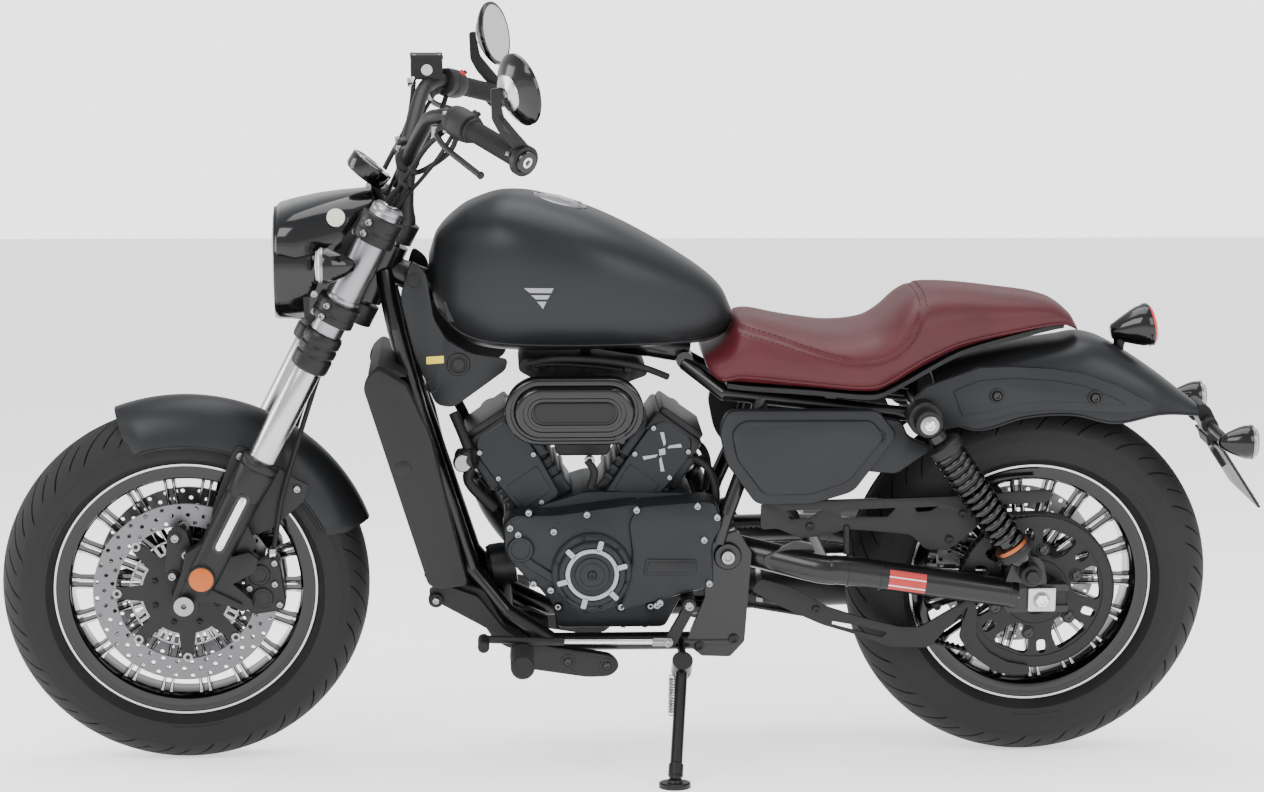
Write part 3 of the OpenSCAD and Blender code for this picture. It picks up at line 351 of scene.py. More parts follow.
def outward(x, z, side):
    """A frame at a point of the side view whose Z points away from the bike on the given side."""
    return across(x, z) if side < 0 else across(x, z) @ Matrix.Rotation(pi, 4, "X")


def smooth_path(points, steps=8):
    """Points along the smooth curve through a row of points."""
    points = [Vector(p) for p in points]
    found = []
    for i in range(len(points) - 1):
        a, b = points[max(i - 1, 0)], points[i]
        c, d = points[i + 1], points[min(i + 2, len(points) - 1)]
        for k in range(steps):
            u = k / steps
            found.append((2 * b + (c - a) * u + (2 * a - 5 * b + 4 * c - d) * u ** 2
                          + (3 * b - a - 3 * c + d) * u ** 3) / 2)
    return found + [points[-1]]


def lookup(x, table):
    """Reads a smooth value from a short table of (place, value)."""
    if x <= table[0][0]:
        return table[0][1]
    for i in range(len(table) - 1):
        (x0, v0), (x1, v1) = table[i], table[i + 1]
        if x <= x1:
            left = table[max(i - 1, 0)]
            right = table[min(i + 2, len(table) - 1)]
            m0 = (v1 - left[1]) / (x1 - left[0]) * (x1 - x0)
            m1 = (right[1] - v0) / (right[0] - x0) * (x1 - x0)
            u = (x - x0) / (x1 - x0)
            return ((2 * u ** 3 - 3 * u ** 2 + 1) * v0 + (u ** 3 - 2 * u ** 2 + u) * m0
                    + (3 * u ** 2 - 2 * u ** 3) * v1 + (u ** 3 - u ** 2) * m1)
    return table[-1][1]


def power(value, exponent):
    """A signed power."""
    return (1 if value >= 0 else -1) * abs(value) ** exponent


SIDES = (1, -1)

# ---- Tyres ---------------------------------------------------------------------------------------

def tyre(name, node, body, place, outer_r, width, rim_r, pitches):
    """A tyre with slanted tread grooves, a centre groove and raised sidewall bands."""
    section = width / 2
    centre_r = outer_r - section
    bead = width / 2 - 24
    shoulder_r = rim_r + 12
    profile = [(rim_r - 13, -bead + 12), (rim_r - 13.8, -bead), (rim_r + 1, -bead)]
    start = degrees(acos((shoulder_r - centre_r) / section))
    flank = [-start, -start + 8, -start + 9.5, -start + 15, -start + 16.5, -start + 26, -78, -66, -64.5, -60]
    crown = [-55, -50, -44, -38, -32, -26, -20, -14, -8, -3.4, -2.6]
    half = [(a, a in (-start + 8, -start + 26, -64.5)) for a in flank] + [(a, False) for a in crown]
    angles = half + [(-a, up) for a, up in reversed(half)]
    for a, raised in angles:
        r = section - 0.4 + (0.4 if raised else 0)
        profile.append((centre_r + r * cos(radians(a)), r * sin(radians(a))))
    profile += [(r, -y) for r, y in reversed(profile[:3])]
    pitch = 2 * pi / pitches
    cuts = [0, 0.015, 0.045, 0.065, 0.2, 0.36, 0.5, 0.515, 0.545, 0.565, 0.7, 0.86]
    rows = []
    for i in range(pitches):
        for c, share in enumerate(cuts):
            row = []
            for r, y in profile:
                a = abs(degrees(atan2(y, r - centre_r))) if r > shoulder_r else 90
                turn = (i + share) * pitch + 0.3 * (abs(y) / section) ** 1.3
                sunk = 0
                long_cut, short_cut = ((1, 2), (7, 8)) if y < 0 else ((7, 8), (1, 2))
                if (c in long_cut and 10 < a < 61) or (c in short_cut and 27 < a < 52):
                    sunk = 4.5 if a < 56 else 2
                if a < 3:
                    sunk = 4
                shrink = (section - sunk) / section if r > shoulder_r else 1
                rr = centre_r + (r - centre_r) * shrink if r > shoulder_r else r
                row.append(Vector((rr * cos(turn), y * shrink, rr * sin(turn))))
            rows.append(row)
    shape = Shape(name)
    shape.grid(rows, TYRE, wrap=True)
    # blank raised panels on each sidewall
    for side in SIDES:
        for turn in (0.4, 2.5, 4.6):
            panel = []
            for k in range(13):
                a = turn + 0.03 * k
                mid = centre_r + (section + 0.5) * cos(radians(88 + 6))
                panel.append([Vector(((mid + dr) * cos(a), side * (section * 0.995 + dy), (mid + dr) * sin(a)))
                              for dr, dy in ((-5, -2), (-4, 0.5), (4, 0.5), (5, -2))])
            shape.grid(panel, TYRE)
    shape.made(body, place, "tyre_rubber", smooth=32, replaces=(node,))


FRONT_HUB = STEERED @ Matrix.Translation((0, 0, FRONT_R))
REAR_HUB = PARKED @ Matrix.Translation((WHEELBASE, 0, REAR_R))


# ---- Wheels --------------------------------------------------------------------------------------

def spin(profile, sides=96):
    """Rows of points for a ring about the spindle, from (radius, distance across) points."""
    return [[Vector((r * cos(2 * pi * k / sides), y, r * sin(2 * pi * k / sides))) for r, y in profile]
            for k in range(sides)]


def cast_wheel(name, node, body, place, width, rim_r, bore_r, hub_r, hub_w, phase):
    """A cast wheel: a black rim with a bright edge, eighteen pairs of slim spokes and a stepped hub."""
    half = width / 2 - 22
    shape = Shape(name)
    rim = [(rim_r - 14.3, -half + 1.5), (rim_r - 0.5, -half + 1.4), (rim_r, -half + 0.8), (rim_r - 0.4, -half),
           (rim_r - 4.5, -half), (rim_r - 5.5, -half + 1.2), (rim_r - 15, -half + 2.2), (rim_r - 26, -half + 5),
           (rim_r - 30, -half + 12), (rim_r - 30, 0), (rim_r - 30, half - 12), (rim_r - 26, half - 5),
           (rim_r - 15, half - 2.2), (rim_r - 5.5, half - 1.2), (rim_r - 4.5, half), (rim_r - 0.4, half),
           (rim_r, half - 0.8), (rim_r - 0.5, half - 1.4), (rim_r - 14.3, half - 1.5)]
    shape.grid(spin(rim, 144), GLOSS, wrap=True)
    for side in SIDES:
        edge = [(rim_r - 4.6, side * half), (rim_r - 4.4, side * (half + 0.35)), (rim_r - 0.8, side * (half + 0.35)),
                (rim_r - 0.5, side * half)]
        shape.grid(spin(edge, 144), MACHINED, wrap=True)
    star = hub_r + 20
    reach = rim_r - 24
    for i in range(18):
        base = radians(phase + 20 * i)
        for side in SIDES:
            rings = []
            for r, thick, deep, apart in ((star - 14, 9, 30, 8.5), (star + 4, 7, 27, 8), ((star + reach) / 2, 5.2,
                24, 7.2),
                                          (reach - 18, 5.4, 26, 7.2), (reach - 5, 8, 34, 7.8), (reach + 3, 12, 44,
                                              9)):
                deep = min(deep, 2 * half - 8)
                y = deep / 2
                t = thick / 2
                rings.append([Matrix.Rotation(-base, 4, "Y") @ Vector((side * apart + dx, dy, r)) for dx, dy in
                              ((-t, -y + 2), (-t + 1.4, -y), (t - 1.4, -y), (t, -y + 2),
                               (t, y - 2), (t - 1.4, y), (-t + 1.4, y), (-t, y - 2))])
            shape.grid(rings, GLOSS)
            for face in SIDES:
                # machined face of the spoke, wide at the rim
                strip = []
                for r, t, deep, apart in ((star + 6, 1.5, 27, 8), ((star + reach) / 2, 1.3, 24, 7.2),
                                          (reach - 20, 1.6, 26, 7.2), (reach - 12, 2.6, 30, 7.5),
                                          (reach + 1, 4.2, 40, 8.8)):
                    y = face * (min(deep, 2 * half - 8) / 2 + 0.3)
                    strip.append([Matrix.Rotation(-base, 4, "Y") @ Vector((side * apart + dx, y + dy, r))
                                  for dx, dy in ((-t, -face * 1.2), (-t * 0.8, 0), (t * 0.8, 0), (t, -face * 1.2))])
                shape.grid(strip, MACHINED)
    hub = [(bore_r, -hub_w), (hub_r - 14, -hub_w), (hub_r - 10, -hub_w + 3), (hub_r - 8, -hub_w + 14),
           (hub_r, -22), (star, -17), (star, 17), (hub_r, 22), (hub_r - 8, hub_w - 14),
           (hub_r - 10, hub_w - 3), (hub_r - 14, hub_w), (bore_r, hub_w)]
    shape.grid(spin(hub, 72), SATIN_BLACK, wrap=True)
    shape.made(body, place, "wheel_black", smooth=32, replaces=(node,))


def drilled_ring(shape, y0, y1, inner_r, outer_r, mat, columns, rings=3, hole=0.3):
    """A brake disc's ring, every other cell of it drilled with a real hole."""
    step = 2 * pi / columns
    for c in range(columns):
        for k in range(rings):
            r0 = inner_r + (outer_r - inner_r) * k / rings
            r1 = inner_r + (outer_r - inner_r) * (k + 1) / rings
            a0, a1 = c * step, (c + 1) * step
            rm, am = (r0 + r1) / 2, (a0 + a1) / 2
            corners = [(r0, a0), (r0, am), (r0, a1), (rm, a1), (r1, a1), (r1, am), (r1, a0), (rm, a0)]
            near, far = ([polar(r, a, y) for r, a in corners] for y in (y0, y1))
            if (c + k) % 2:
                shape.grid([near, far], mat)
                continue
            rad = (r1 - r0) * hole
            round_hole = []
            for r, a in corners:
                dr, da = r - rm, (a - am) * rm
                n = sqrt(dr * dr + da * da)
                round_hole.append((rm + dr / n * rad, am + da / n * rad / rm))
            shape.grid([near, far, [polar(r, a, y1) for r, a in round_hole],
                        [polar(r, a, y0) for r, a in round_hole]], mat, wrap=True)


def polar(r, a, y):
    """A point at an angle round the spindle."""
    return Vector((r * cos(a), y, r * sin(a)))


def front_disc(side):
    """A drilled floating disc on its carrier, with the toothed sensor ring inside it."""
    shape = Shape("front_disc_" + ("left" if side < 0 else "right"))
    y0, y1 = side * 52.3, side * 57.3
    drilled_ring(shape, y0, y1, 121, 160, DISC, 64)
    carrier = [(24, y0), (70, y0), (76, y0 + side), (76, y1 - side), (70, y1), (24, y1)]
    shape.grid(spin(carrier, 72), SATIN_BLACK, wrap=True)
    for i in range(8):
        turn = radians(45 * i)
        arm = [(76 - 6, -0.22), (100, -0.12), (116, -0.09), (122, -0.06), (122, 0.06), (116, 0.09), (100, 0.12),
               (70, 0.22)]
        shape.grid([[polar(r, turn + a, y) for r, a in arm] for y in (y0 + side, y1 - side)], SATIN_BLACK)
        centre = polar(119, turn, y1 - side)
        shape.rod(centre - Vector((0, side * 3, 0)), centre + Vector((0, side * 1.8, 0)), 8.5, STEEL, 20, 0.6)
        shape.rod(centre, centre + Vector((0, side * 2.6, 0)), 4, SATIN_BLACK, 12)
        small = polar(58, turn + 0.39, y1)
        shape.bolt(small, (0, side, 0), 5, SATIN_BLACK, 5)
    if side < 0:
        for i in range(44):
            turn = 2 * pi * i / 44
            tooth = [(78, -0.035), (97, -0.03), (97, 0.03), (78, 0.035)]
            shape.grid([[polar(r, turn + a, y) for r, a in tooth] for y in (y0 - 3, y0 + 1)], STEEL)
        shape.ring(74, 80, y0 - 3, y0 + 1, STEEL, 72)
        shape.ring(95, 98, y0 - 3, y0 + 1, STEEL, 72)
    shape.made("front_wheel_body", FRONT_HUB, "disc_steel", smooth=30, replaces=("front_discs",))


# ---- Tank, fenders and seat ----------------------------------------------------------------------

TANK_TOP = ((428, 905), (442, 947), (483, 988), (520, 1006), (554, 1015), (601, 1014), (660, 1000),
            (719, 980), (789, 947), (860, 906), (907, 874), (937, 844), (952, 812))
TANK_BOTTOM = ((428, 862), (442, 812), (483, 762), (554, 744), (719, 744), (895, 752), (940, 768), (952, 790))
TANK_WIDTH = ((428, 34), (442, 62), (483, 104), (554, 140), (640, 150), (719, 146), (800, 122), (880, 88),
              (930, 62), (952, 36))
CAP = tilted((653, 0, 998), 14)
CAP_R = 49.0


def rings_along(x0, x1, count, ring):
    """Rings at places that crowd towards both ends."""
    return [ring(x0 + (x1 - x0) * (1 - cos(pi * k / count)) / 2) for k in range(count + 1)]


def cut_with(obj, cutter_shape, place):
    """Takes one shape out of an object."""
    cutter = cutter_shape.made("chassis", place)
    mod = obj.modifiers.new("cut", "BOOLEAN")
    mod.object = cutter
    mod.solver = "EXACT"
    apply_modifiers(obj)
    bpy.data.objects.remove(cutter, do_unlink=True)


def tank_section(x):
    """The tank's floor and roof heights and half width at a place along it."""
    return lookup(x, TANK_BOTTOM), lookup(x, TANK_TOP), lookup(x, TANK_WIDTH)


def tank_surface(x, z, side, lift):
    """A point on the tank's flank, seen from the side, raised a little."""
    z0, z1, w = tank_section(x)
    s = max(-1, min(1, (z - (z0 + z1) / 2) / ((z1 - z0) / 2)))
    c = (1 - abs(s) ** (2 / TANK_ROUND)) ** (TANK_ROUND / 2)
    tuck = 1 - 0.10 * max(0, -s) ** 2
    return Vector((x, side * ((w - 0.5) * c * tuck + lift), z))


def fuel_tank():
    """The teardrop tank: smooth flanks, a flange seam low down and a recess for the cap."""
    shape = Shape("fuel_tank_shell")
    sides = 96

    def ring(x):
        z0, z1, w = tank_section(x)
        row = []
        for j in range(sides):
            a = 2 * pi * j / sides
            c, s = power(cos(a), TANK_ROUND), power(sin(a), TANK_ROUND)
            tuck = 1 - 0.10 * max(0, -s) ** 2
            row.append(Vector((x, (w - 0.5) * c * tuck, (z0 + z1) / 2 + (z1 - z0 - 1) / 2 * s)))
        return row

    shape.grid(rings_along(428.4, 951.6, 72, ring), GRAPHITE)
    tank = shape.made("chassis", slot="graphite_paint", smooth=60, replaces=("fuel_tank",))
    cut = Shape("cap_recess")
    cut.turned([(-15, CAP_R + 1.2), (60, CAP_R + 1.2)], CAP, GRAPHITE, 96)
    cut_with(tank, cut, PARKED)
    cut = Shape("filler_mouth")
    cut.turned([(-40, 24), (20, 24)], CAP, GRAPHITE, 48)
    cut_with(tank, cut, PARKED)
    tank.data.polygons.foreach_set("use_smooth", [True] * len(tank.data.polygons))
    tank.data.set_sharp_from_angle(angle=radians(40))

    seam = Shape("fuel_tank_seam")
    for side in SIDES:
        path = []
        for k in range(41):
            x = 446 + (930 - 446) * k / 40
            z0, z1, w = tank_section(x)
            s = -0.83
            c = (1 - abs(s) ** (2 / TANK_ROUND)) ** (TANK_ROUND / 2)
            tuck = 1 - 0.10 * s * s
            path.append((x, side * (w - 1.0) * c * tuck, (z0 + z1) / 2 + (z1 - z0) / 2 * s))
        seam.tube(path, 2.2, GRAPHITE, 8, 1)
    seam.made("chassis", slot="graphite_paint", smooth=80)

    rim = Shape("filler_rim")
    rim.turned([(-14.6, 49.6), (-14.6, 26), (-13, 25), (-13, 20), (-16, 20), (-16, 49.6)], CAP, SATIN_BLACK, 64)
    rim.made("chassis", slot="black_plastic")

    # a plain stepped triangle on each flank
    mark = Shape("tank_marks")
    for side in SIDES:
        for stripe in (((590, 872), (640, 872), (636, 864), (600, 864)), ((602, 860), (634, 860), (630, 853),
            (610, 853)),
                       ((612, 849), (628, 849), (622, 836), (618, 842))):
            rows = [[tank_surface(x, z, side, lift) for x, z in stripe] for lift in (-0.5, 0.9)]
            mark.grid(rows, STEEL)
    mark.made("chassis", slot="bright_steel", smooth=20)


def fuel_cap():
    """The round filler cap: a brushed lid with a raised oval grip, a ring of bolts and a key cover."""
    shape = Shape("fuel_cap_lid_cover")
    shape.turned([(-20, 15.6), (-6, 16), (-6, CAP_R - 1), (-5, CAP_R), (1.6, CAP_R), (3, CAP_R - 1.6), (3, CAP_R - 8),
                  (2.2, CAP_R - 8.6), (2.2, CAP_R - 10), (3, CAP_R - 10.6), (3.4, 22), (4.4, 20), (4.8, 0.5)],
                 CAP, STEEL, 96)
    shape.slab([(-26, 3), (26, 3), (24, 7.6), (-24, 7.6)], -8, 8, CHROME, CAP)
    shape.turned([(4, 7), (8.4, 7), (9, 6), (9, 0.5)], CAP, CHROME, 32)
    for k in range(6):
        spot = CAP @ Vector((42 * cos(pi * k / 3 + 0.5), 42 * sin(pi * k / 3 + 0.5), 2.9))
        shape.bolt(spot, CAP.to_3x3() @ Vector((0, 0, 1)), 3, STEEL, 2)
    shape.rod(CAP @ Vector((-CAP_R + 1, -3, 3)), CAP @ Vector((-CAP_R + 1, 3, 3)), 1.8, STEEL, 16)
    shape.made("fuel_cap_body", slot="bright_steel", smooth=35, replaces=("fuel_cap",))


FENDER_R, FENDER_HALF = 341.0, 74.0


def front_fender():
    """The front fender, a rolled-edge band round the tyre."""
    shape = Shape("front_fender_shell")
    crown = 92
    last = degrees(acos((crown - 76) / crown))
    angles = [radians(-last + 2 * last * k / 32) for k in range(33)]
    profile, inner = ([(FENDER_R - crown + (crown - thick) * cos(a), (FENDER_HALF - thick) * sin(a)) for a in angles]
                      for thick in (0, 2.6))
    ring = profile + inner[::-1]
    rows = []
    start, sweep = 20, 90
    for k in range(73):
        turn = radians(start + sweep * k / 72)
        ends = min(k, 72 - k)
        fade = 1 if ends > 5 else 0.80 + 0.20 * sin(ends / 6 * pi / 2)
        rows.append([Vector((r * cos(turn), y * (fade if abs(y) > 20 else 1), r * sin(turn))) for r, y in ring])
    shape.grid(rows, GRAPHITE)
    shape.made("steering", FRONT_HUB, "graphite_paint", smooth=50, replaces=("front_fender",))
    edge = Shape("front_fender_edge")
    for side in SIDES:
        r, y = profile[0] if side < 0 else profile[-1]
        edge.tube([polar(r, radians(start + 4 + (sweep - 8) * k / 48), y) for k in range(49)], 2.4, GRAPHITE, 8, 1)
        stay = [(44, 118), (82, 96), (150, 118), (206, 166), (216, 196), (196, 206), (118, 262), (96, 268),
                (84, 250), (52, 160)]
        edge.slab(stay, side * (FENDER_HALF + 0.4), side * (FENDER_HALF + 4.6), SATIN_BLACK)
        for spot in ((100, 250), (196, 190)):
            edge.bolt((spot[0], side * (FENDER_HALF + 4.4), spot[1]), (0, side, 0), 7, STEEL, 6)
        edge.rod((76, side * (FENDER_HALF - 1), 130), (76, side * (FORK_HALF - 28.4), 130), 9, SATIN_BLACK, 20)
    edge.made("steering", FRONT_HUB, "graphite_paint", smooth=45)


def rear_fender():
    """The rear fender with its rolled lower edge."""
    top = ((1300, 706), (1349, 724), (1445, 745), (1531, 758), (1570, 764), (1613, 752), (1695, 702), (1778, 640))
    low = ((1300, 640), (1374, 612), (1458, 634), (1541, 638), (1618, 622), (1700, 634), (1778, 624))
    half = ((1300, 99.6), (1500, 99.6), (1640, 92), (1700, 80), (1778, 40))
    count = 40
    shape = Shape("rear_fender_shell")

    def ring(x):
        crown, edge, w = lookup(x, top), lookup(x, low), lookup(x, half)
        outer, inner = ([Vector((x, wide * power(cos(pi * j / count), FENDER_ROUND),
                                 edge + high * sin(pi * j / count) ** FENDER_ROUND)) for j in range(count + 1)]
                        for wide, high in ((w, crown - edge), (w - 4, crown - edge - 4)))
        return outer + inner[::-1]

    shape.grid([ring(1300 + 478 * k / 72) for k in range(73)], GRAPHITE)
    shape.made("chassis", slot="graphite_paint", smooth=50, replaces=("rear_fender",))
    edge = Shape("rear_fender_edge")
    for side in SIDES:
        edge.tube([(x, side * lookup(x, half), lookup(x, low)) for x in [1302 + 474 * k / 48 for k in range(49)]],
                  2.4, GRAPHITE, 8, 1)
    edge.made("chassis", slot="graphite_paint", smooth=60)


def fender_struts():
    """The cast struts outside the fender, with a raised border and two black bolts."""
    outline = [(1262, 668), (1282, 690), (1312, 702), (1374, 724), (1430, 726), (1500, 722), (1560, 712), (1620, 690),
               (1685, 655), (1640, 643), (1560, 648), (1500, 650), (1440, 646), (1400, 634), (1340, 620), (1290, 610)]
    inset = [(1330, 684), (1374, 702), (1430, 706), (1500, 702), (1556, 692), (1606, 672), (1632, 658), (1560, 664),
             (1500, 666), (1440, 662), (1400, 650), (1346, 640)]
    shape = Shape("fender_strut_covers")
    for side in SIDES:
        shape.slab(outline, side * 100.2, side * 111.5, PANEL)
        shape.slab(inset, side * 111, side * 114.5, PANEL)
        for spot in ((1405, 676), (1576, 672)):
            place = outward(spot[0], spot[1], side)
            shape.turned([(110, 13), (116.5, 13), (117.5, 12), (117.5, 9), (116, 8.6)], place, SATIN_BLACK, 32)
            shape.bolt((spot[0], side * 115.5, spot[1]), (0, side, 0), 7.5, GLOSS, 6)
        eye = outward(*SHOCK_TOP, side)
        shape.turned([(100.2, 27), (104, 30), (144, 30), (148, 26)], eye, SATIN_BLACK, 48)
    shape.made("chassis", slot="black_plastic", smooth=40, bevel=2.0, replaces=("fender_struts",))


SEAT_TOP = ((903, 738), (922, 748), (938, 762), (949, 780), (957, 796), (968, 802), (989, 803), (1030, 794),
            (1072, 786), (1131, 779), (1189, 786), (1222, 806),
            (1255, 838), (1301, 852), (1425, 842), (1507, 828), (1542, 806), (1560, 778))
SEAT_LOW = ((903, 728), (913, 706), (935, 691), (1092, 682), (1190, 675), (1212, 681), (1300, 724), (1349, 746),
            (1445, 771),
            (1531, 785), (1560, 772))
SEAT_WIDE = ((903, 84), (913, 104), (935, 116), (1000, 128), (1092, 144), (1170, 150), (1240, 138), (1320, 112),
             (1425, 96),
             (1500, 78), (1542, 52), (1560, 24))
SEAM = ((962, 790), (1010, 779), (1060, 764), (1110, 750), (1156, 741), (1190, 742), (1220, 752), (1246, 772),
        (1262, 798), (1271, 822), (1274, 842))


def seat_point(x, turn):
    """A point of the cushion's skin: flat below, pulled-in flanks and a crowned top."""
    z0, z1, w = lookup(x, SEAT_LOW), lookup(x, SEAT_TOP), lookup(x, SEAT_WIDE)
    c, s = cos(turn), sin(turn)
    y = w * power(c, 0.62)
    if s > 0:
        z = (z0 + z1) / 2 + (z1 - z0) / 2 * power(s, 0.8)
        y *= 1 - 0.05 * s
    else:
        z = (z0 + z1) / 2 + (z1 - z0) / 2 * power(s, 0.55)
        y *= 1 - 0.07 * s * s
    return Vector((x, y, z))


def bell(distance, spread):
    """A smooth bump that fades with distance."""
    return 2.718 ** (-(distance / spread) ** 2)


def seat():
    """The leather seat: a crowned cushion with a welted, double-stitched seam and a raised pillion pad."""
    seam = smooth_path([(x, 0, z) for x, z in SEAM], 6)
    shape = Shape("leather_seat")
    rows = []
    for x in [903.5 + 656 * (1 - cos(pi * k / 180)) / 2 for k in range(181)]:
        row = []
        for j in range(144):
            point = seat_point(x, 2 * pi * j / 144)
            middle = Vector((x, 0, (lookup(x, SEAT_LOW) + lookup(x, SEAT_TOP)) / 2))
            flat = Vector((point.x, 0, point.z))
            near = min((flat - place).length for place in seam)
            over_top = abs(point.x - 1276) if point.z > 842 else 99
            near = min(near, over_top)
            inward = (middle - point).normalized()
            sink = 3.2 * bell(near, 3.4) - 0.9 * bell(near - 9, 5)
            # shallow folds where the flank meets the frame and the pillion pad rises
            fold = 0.7 * sin(point.x / 17 + point.z / 23) * max(0, 1 - abs(point.z - middle.z) / 50)
            pinch = 1.2 * sin(point.x / 9.0) * bell(point.x - 1236, 26)
            row.append(point + inward * (sink + 0.5 + fold * 0.5 + pinch * 0.5))
        rows.append(row)
    shape.grid(rows, LEATHER)
    bvh = BVHTree.FromBMesh(shape.bm)
    cushion = shape.made("chassis", slot="red_leather", smooth=75, replaces=("seat",))

    thread = Shape("seat_stitching")
    for offset in (-5.4, 5.4):
        for side in SIDES:
            along = smooth_path([(x, 0, z) for x, z in SEAM[:-1]], 24)
            spots = []
            for a, b in zip(along, along[1:]):
                across_seam = (b - a).normalized().cross(Vector((0, 1, 0))) * offset
                start = Vector((a.x, side * 300, a.z)) + across_seam
                hit = bvh.ray_cast(start, Vector((0, -side, 0)))[0]
                if hit:
                    spots.append(hit)
            stitch(thread, spots)
        spots = []
        for k in range(61):
            hit = bvh.ray_cast(Vector((1276 + offset, -112 + 224 * k / 60, 1000)), Vector((0, 0, -1)))[0]
            if hit and hit.z > 828:
                spots.append(hit)
        stitch(thread, spots)
    thread.made("chassis", slot="red_leather", smooth=60)

    welt = Shape("seat_lower_welt")
    for side in SIDES:
        welt.tube([seat_point(x, pi * (-0.125 if side > 0 else -0.875)) for x in
                   [930 + (1545 - 930) * k / 60 for k in range(61)]], 2.6, LEATHER, 8, 1)
    welt.made("chassis", slot="red_leather", smooth=80)
    base = Shape("seat_base_pan")
    rows = []
    for x in [940 + (1530 - 940) * k / 40 for k in range(41)]:
        z0, w = lookup(x, SEAT_LOW), lookup(x, SEAT_WIDE) * 0.86
        rows.append([Vector((x, y, z)) for y, z in ((-w, z0 - 2.5), (w, z0 - 2.5), (w, z0 + 6), (-w, z0 + 6))])
    base.grid(rows, PLASTIC)
    base.made("chassis", slot="black_plastic", smooth=40)


def stitch(shape, spots, length=6.4, gap=3.2, radius=0.85):
    """Lays even stitches along a row of surface points."""
    travelled, start, sewing = 0.0, None, True
    for a, b in zip(spots, spots[1:]):
        step = (b - a).length
        if step == 0:
            continue
        done = 0.0
        while done < step:
            if sewing and start is None:
                start = a + (b - a) * (done / step)
            need = (length if sewing else gap) - travelled
            if done + need <= step:
                done += need
                travelled = 0.0
                if sewing:
                    end = a + (b - a) * (done / step)
                    if (end - start).length > 1:
                        shape.rod(start, end, radius, THREAD, 6, 0.4)
                    start = None
                sewing = not sewing
            else:
                travelled += step - done
                done = step


# ---- Front end -----------------------------------------------------------------------------------

def leg_frame(side):
    """The frame along one fork leg."""
    return ALONG_FORK @ Matrix.Translation((0, side * FORK_HALF, 0))


def fork_legs():
    """Each leg from its top cap down: shroud, boot, bright tube and the dark lower casting."""
    shape = Shape("fork_leg_tubes")
    for side in SIDES:
        place = leg_frame(side)

        def part(points, mat, sides=48):
            shape.turned([(up_fork(z), r) for z, r in points], place, mat, sides)

        part([(996, 28), (1000, 28), (1004, 27), (1006, 24), (1008, 23)], STEEL)
        part([(1003, 14), (1008.5, 14), (1010, 12), (1010, 5)], CHROME, 6)
        part([(788, 27.4), (996, 28)], STEEL)
        part([(846, 29), (850, 29.2), (854, 28)], STEEL)
        part([(728, 27), (731, 32), (736, 33), (752, 33), (754, 31), (757, 31), (759, 33), (768, 33), (770, 31),
              (773, 31), (775, 33), (786, 33), (790, 31), (791, 28)], SATIN_BLACK)
        part([(548, 24.6), (731, 24.6)], MACHINED)
        part([(553, 29), (556, 33), (560, 34.5), (566, 34.5), (569, 33), (571, 27), (571, 25)], SATIN_BLACK)
        part([(506, 31), (530, 33), (548, 34), (556, 34)], SATIN_BLACK)
        part([(342, 26), (352, 29), (380, 30), (440, 30), (506, 31)], SATIN_BLACK)
        # the slot that shows the bright tube
        slot = [(-9, 0), (-7, -6), (0, -9), (7, -6), (9, 0), (9, 92), (7, 98), (0, 101), (-7, 98), (-9, 92)]
        face = place @ Matrix.Translation((0, side * 30, up_fork(424)))
        rows = [[face @ Vector((x * 1.35, y, z * 1.05 - (0 if z > 40 else 3))) for x,
                 z in slot] for y in (-side * 4, side * 1.6)]
        shape.grid(rows, GLOSS)
        rows = [[face @ Vector((x * 0.72, y, z * 0.96 + 2)) for x, z in slot] for y in (-side * 2, side * 2.6)]
        shape.grid(rows, CHROME)
        # axle clamp and caliper bracket
        casting = [(-22, 300), (-20, 332), (-4, 372), (4, 408), (30, 424), (52, 418), (66, 392), (76, 400),
                   (112, 408), (128, 396), (122, 372), (84, 352), (116, 322), (118, 308), (98, 302), (52, 330),
                   (26, 334), (24, 302), (12, 292), (-12, 290)]
        shape.slab(casting, side * (FORK_HALF - 12), side * (FORK_HALF + 13), SATIN_BLACK)
        rib = [(-6, 330), (2, 360), (24, 362), (48, 344), (100, 316), (96, 308), (50, 322), (14, 322)]
        shape.slab(rib, side * (FORK_HALF + 10), side * (FORK_HALF + 18), SATIN_BLACK)
        mount = [(44, 418), (52, 446), (84, 470), (108, 462), (124, 420), (116, 396), (84, 392)]
        shape.slab(mount, side * (FORK_HALF - 14), side * (FORK_HALF - 2), SATIN_BLACK)
        for x, z in ((-6, 400), (-30, 362), (-24, 430)):
            shape.rod((x + 10, side * (FORK_HALF - 20), z), (x + 10, side * (FORK_HALF - 9), z), 11, SATIN_BLACK,
                      24, 1)
            shape.bolt((x + 10, side * (FORK_HALF - 9), z), (0, side, 0), 7.5, STEEL, 6)
        web = [(-28, 352), (-34, 372), (-26, 440), (-10, 452), (6, 440), (16, 400), (0, 344)]
        shape.slab(web, side * (FORK_HALF - 18), side * (FORK_HALF - 12), SATIN_BLACK)
        # reflector in its cup
        eye, _ = toward((31, side * (FORK_HALF + 31), 368), (31, side * (FORK_HALF + 60), 368))
        shape.turned([(-6, 24), (3, 24), (4.5, 23), (4.5, 20)], eye, SATIN_BLACK, 48)
        shape.turned([(0, 21), (5.5, 21), (6.8, 19), (7.2, 0.5)], eye, AMBER, 48)
        shape.bolt((0, side * (FORK_HALF + 18), FRONT_R - 2), (0, side, 0), 9, STEEL, 9)
    shape.made("steering", STEERED, "fork_chrome", smooth=38, bevel=1.2, replaces=("fork_legs",))


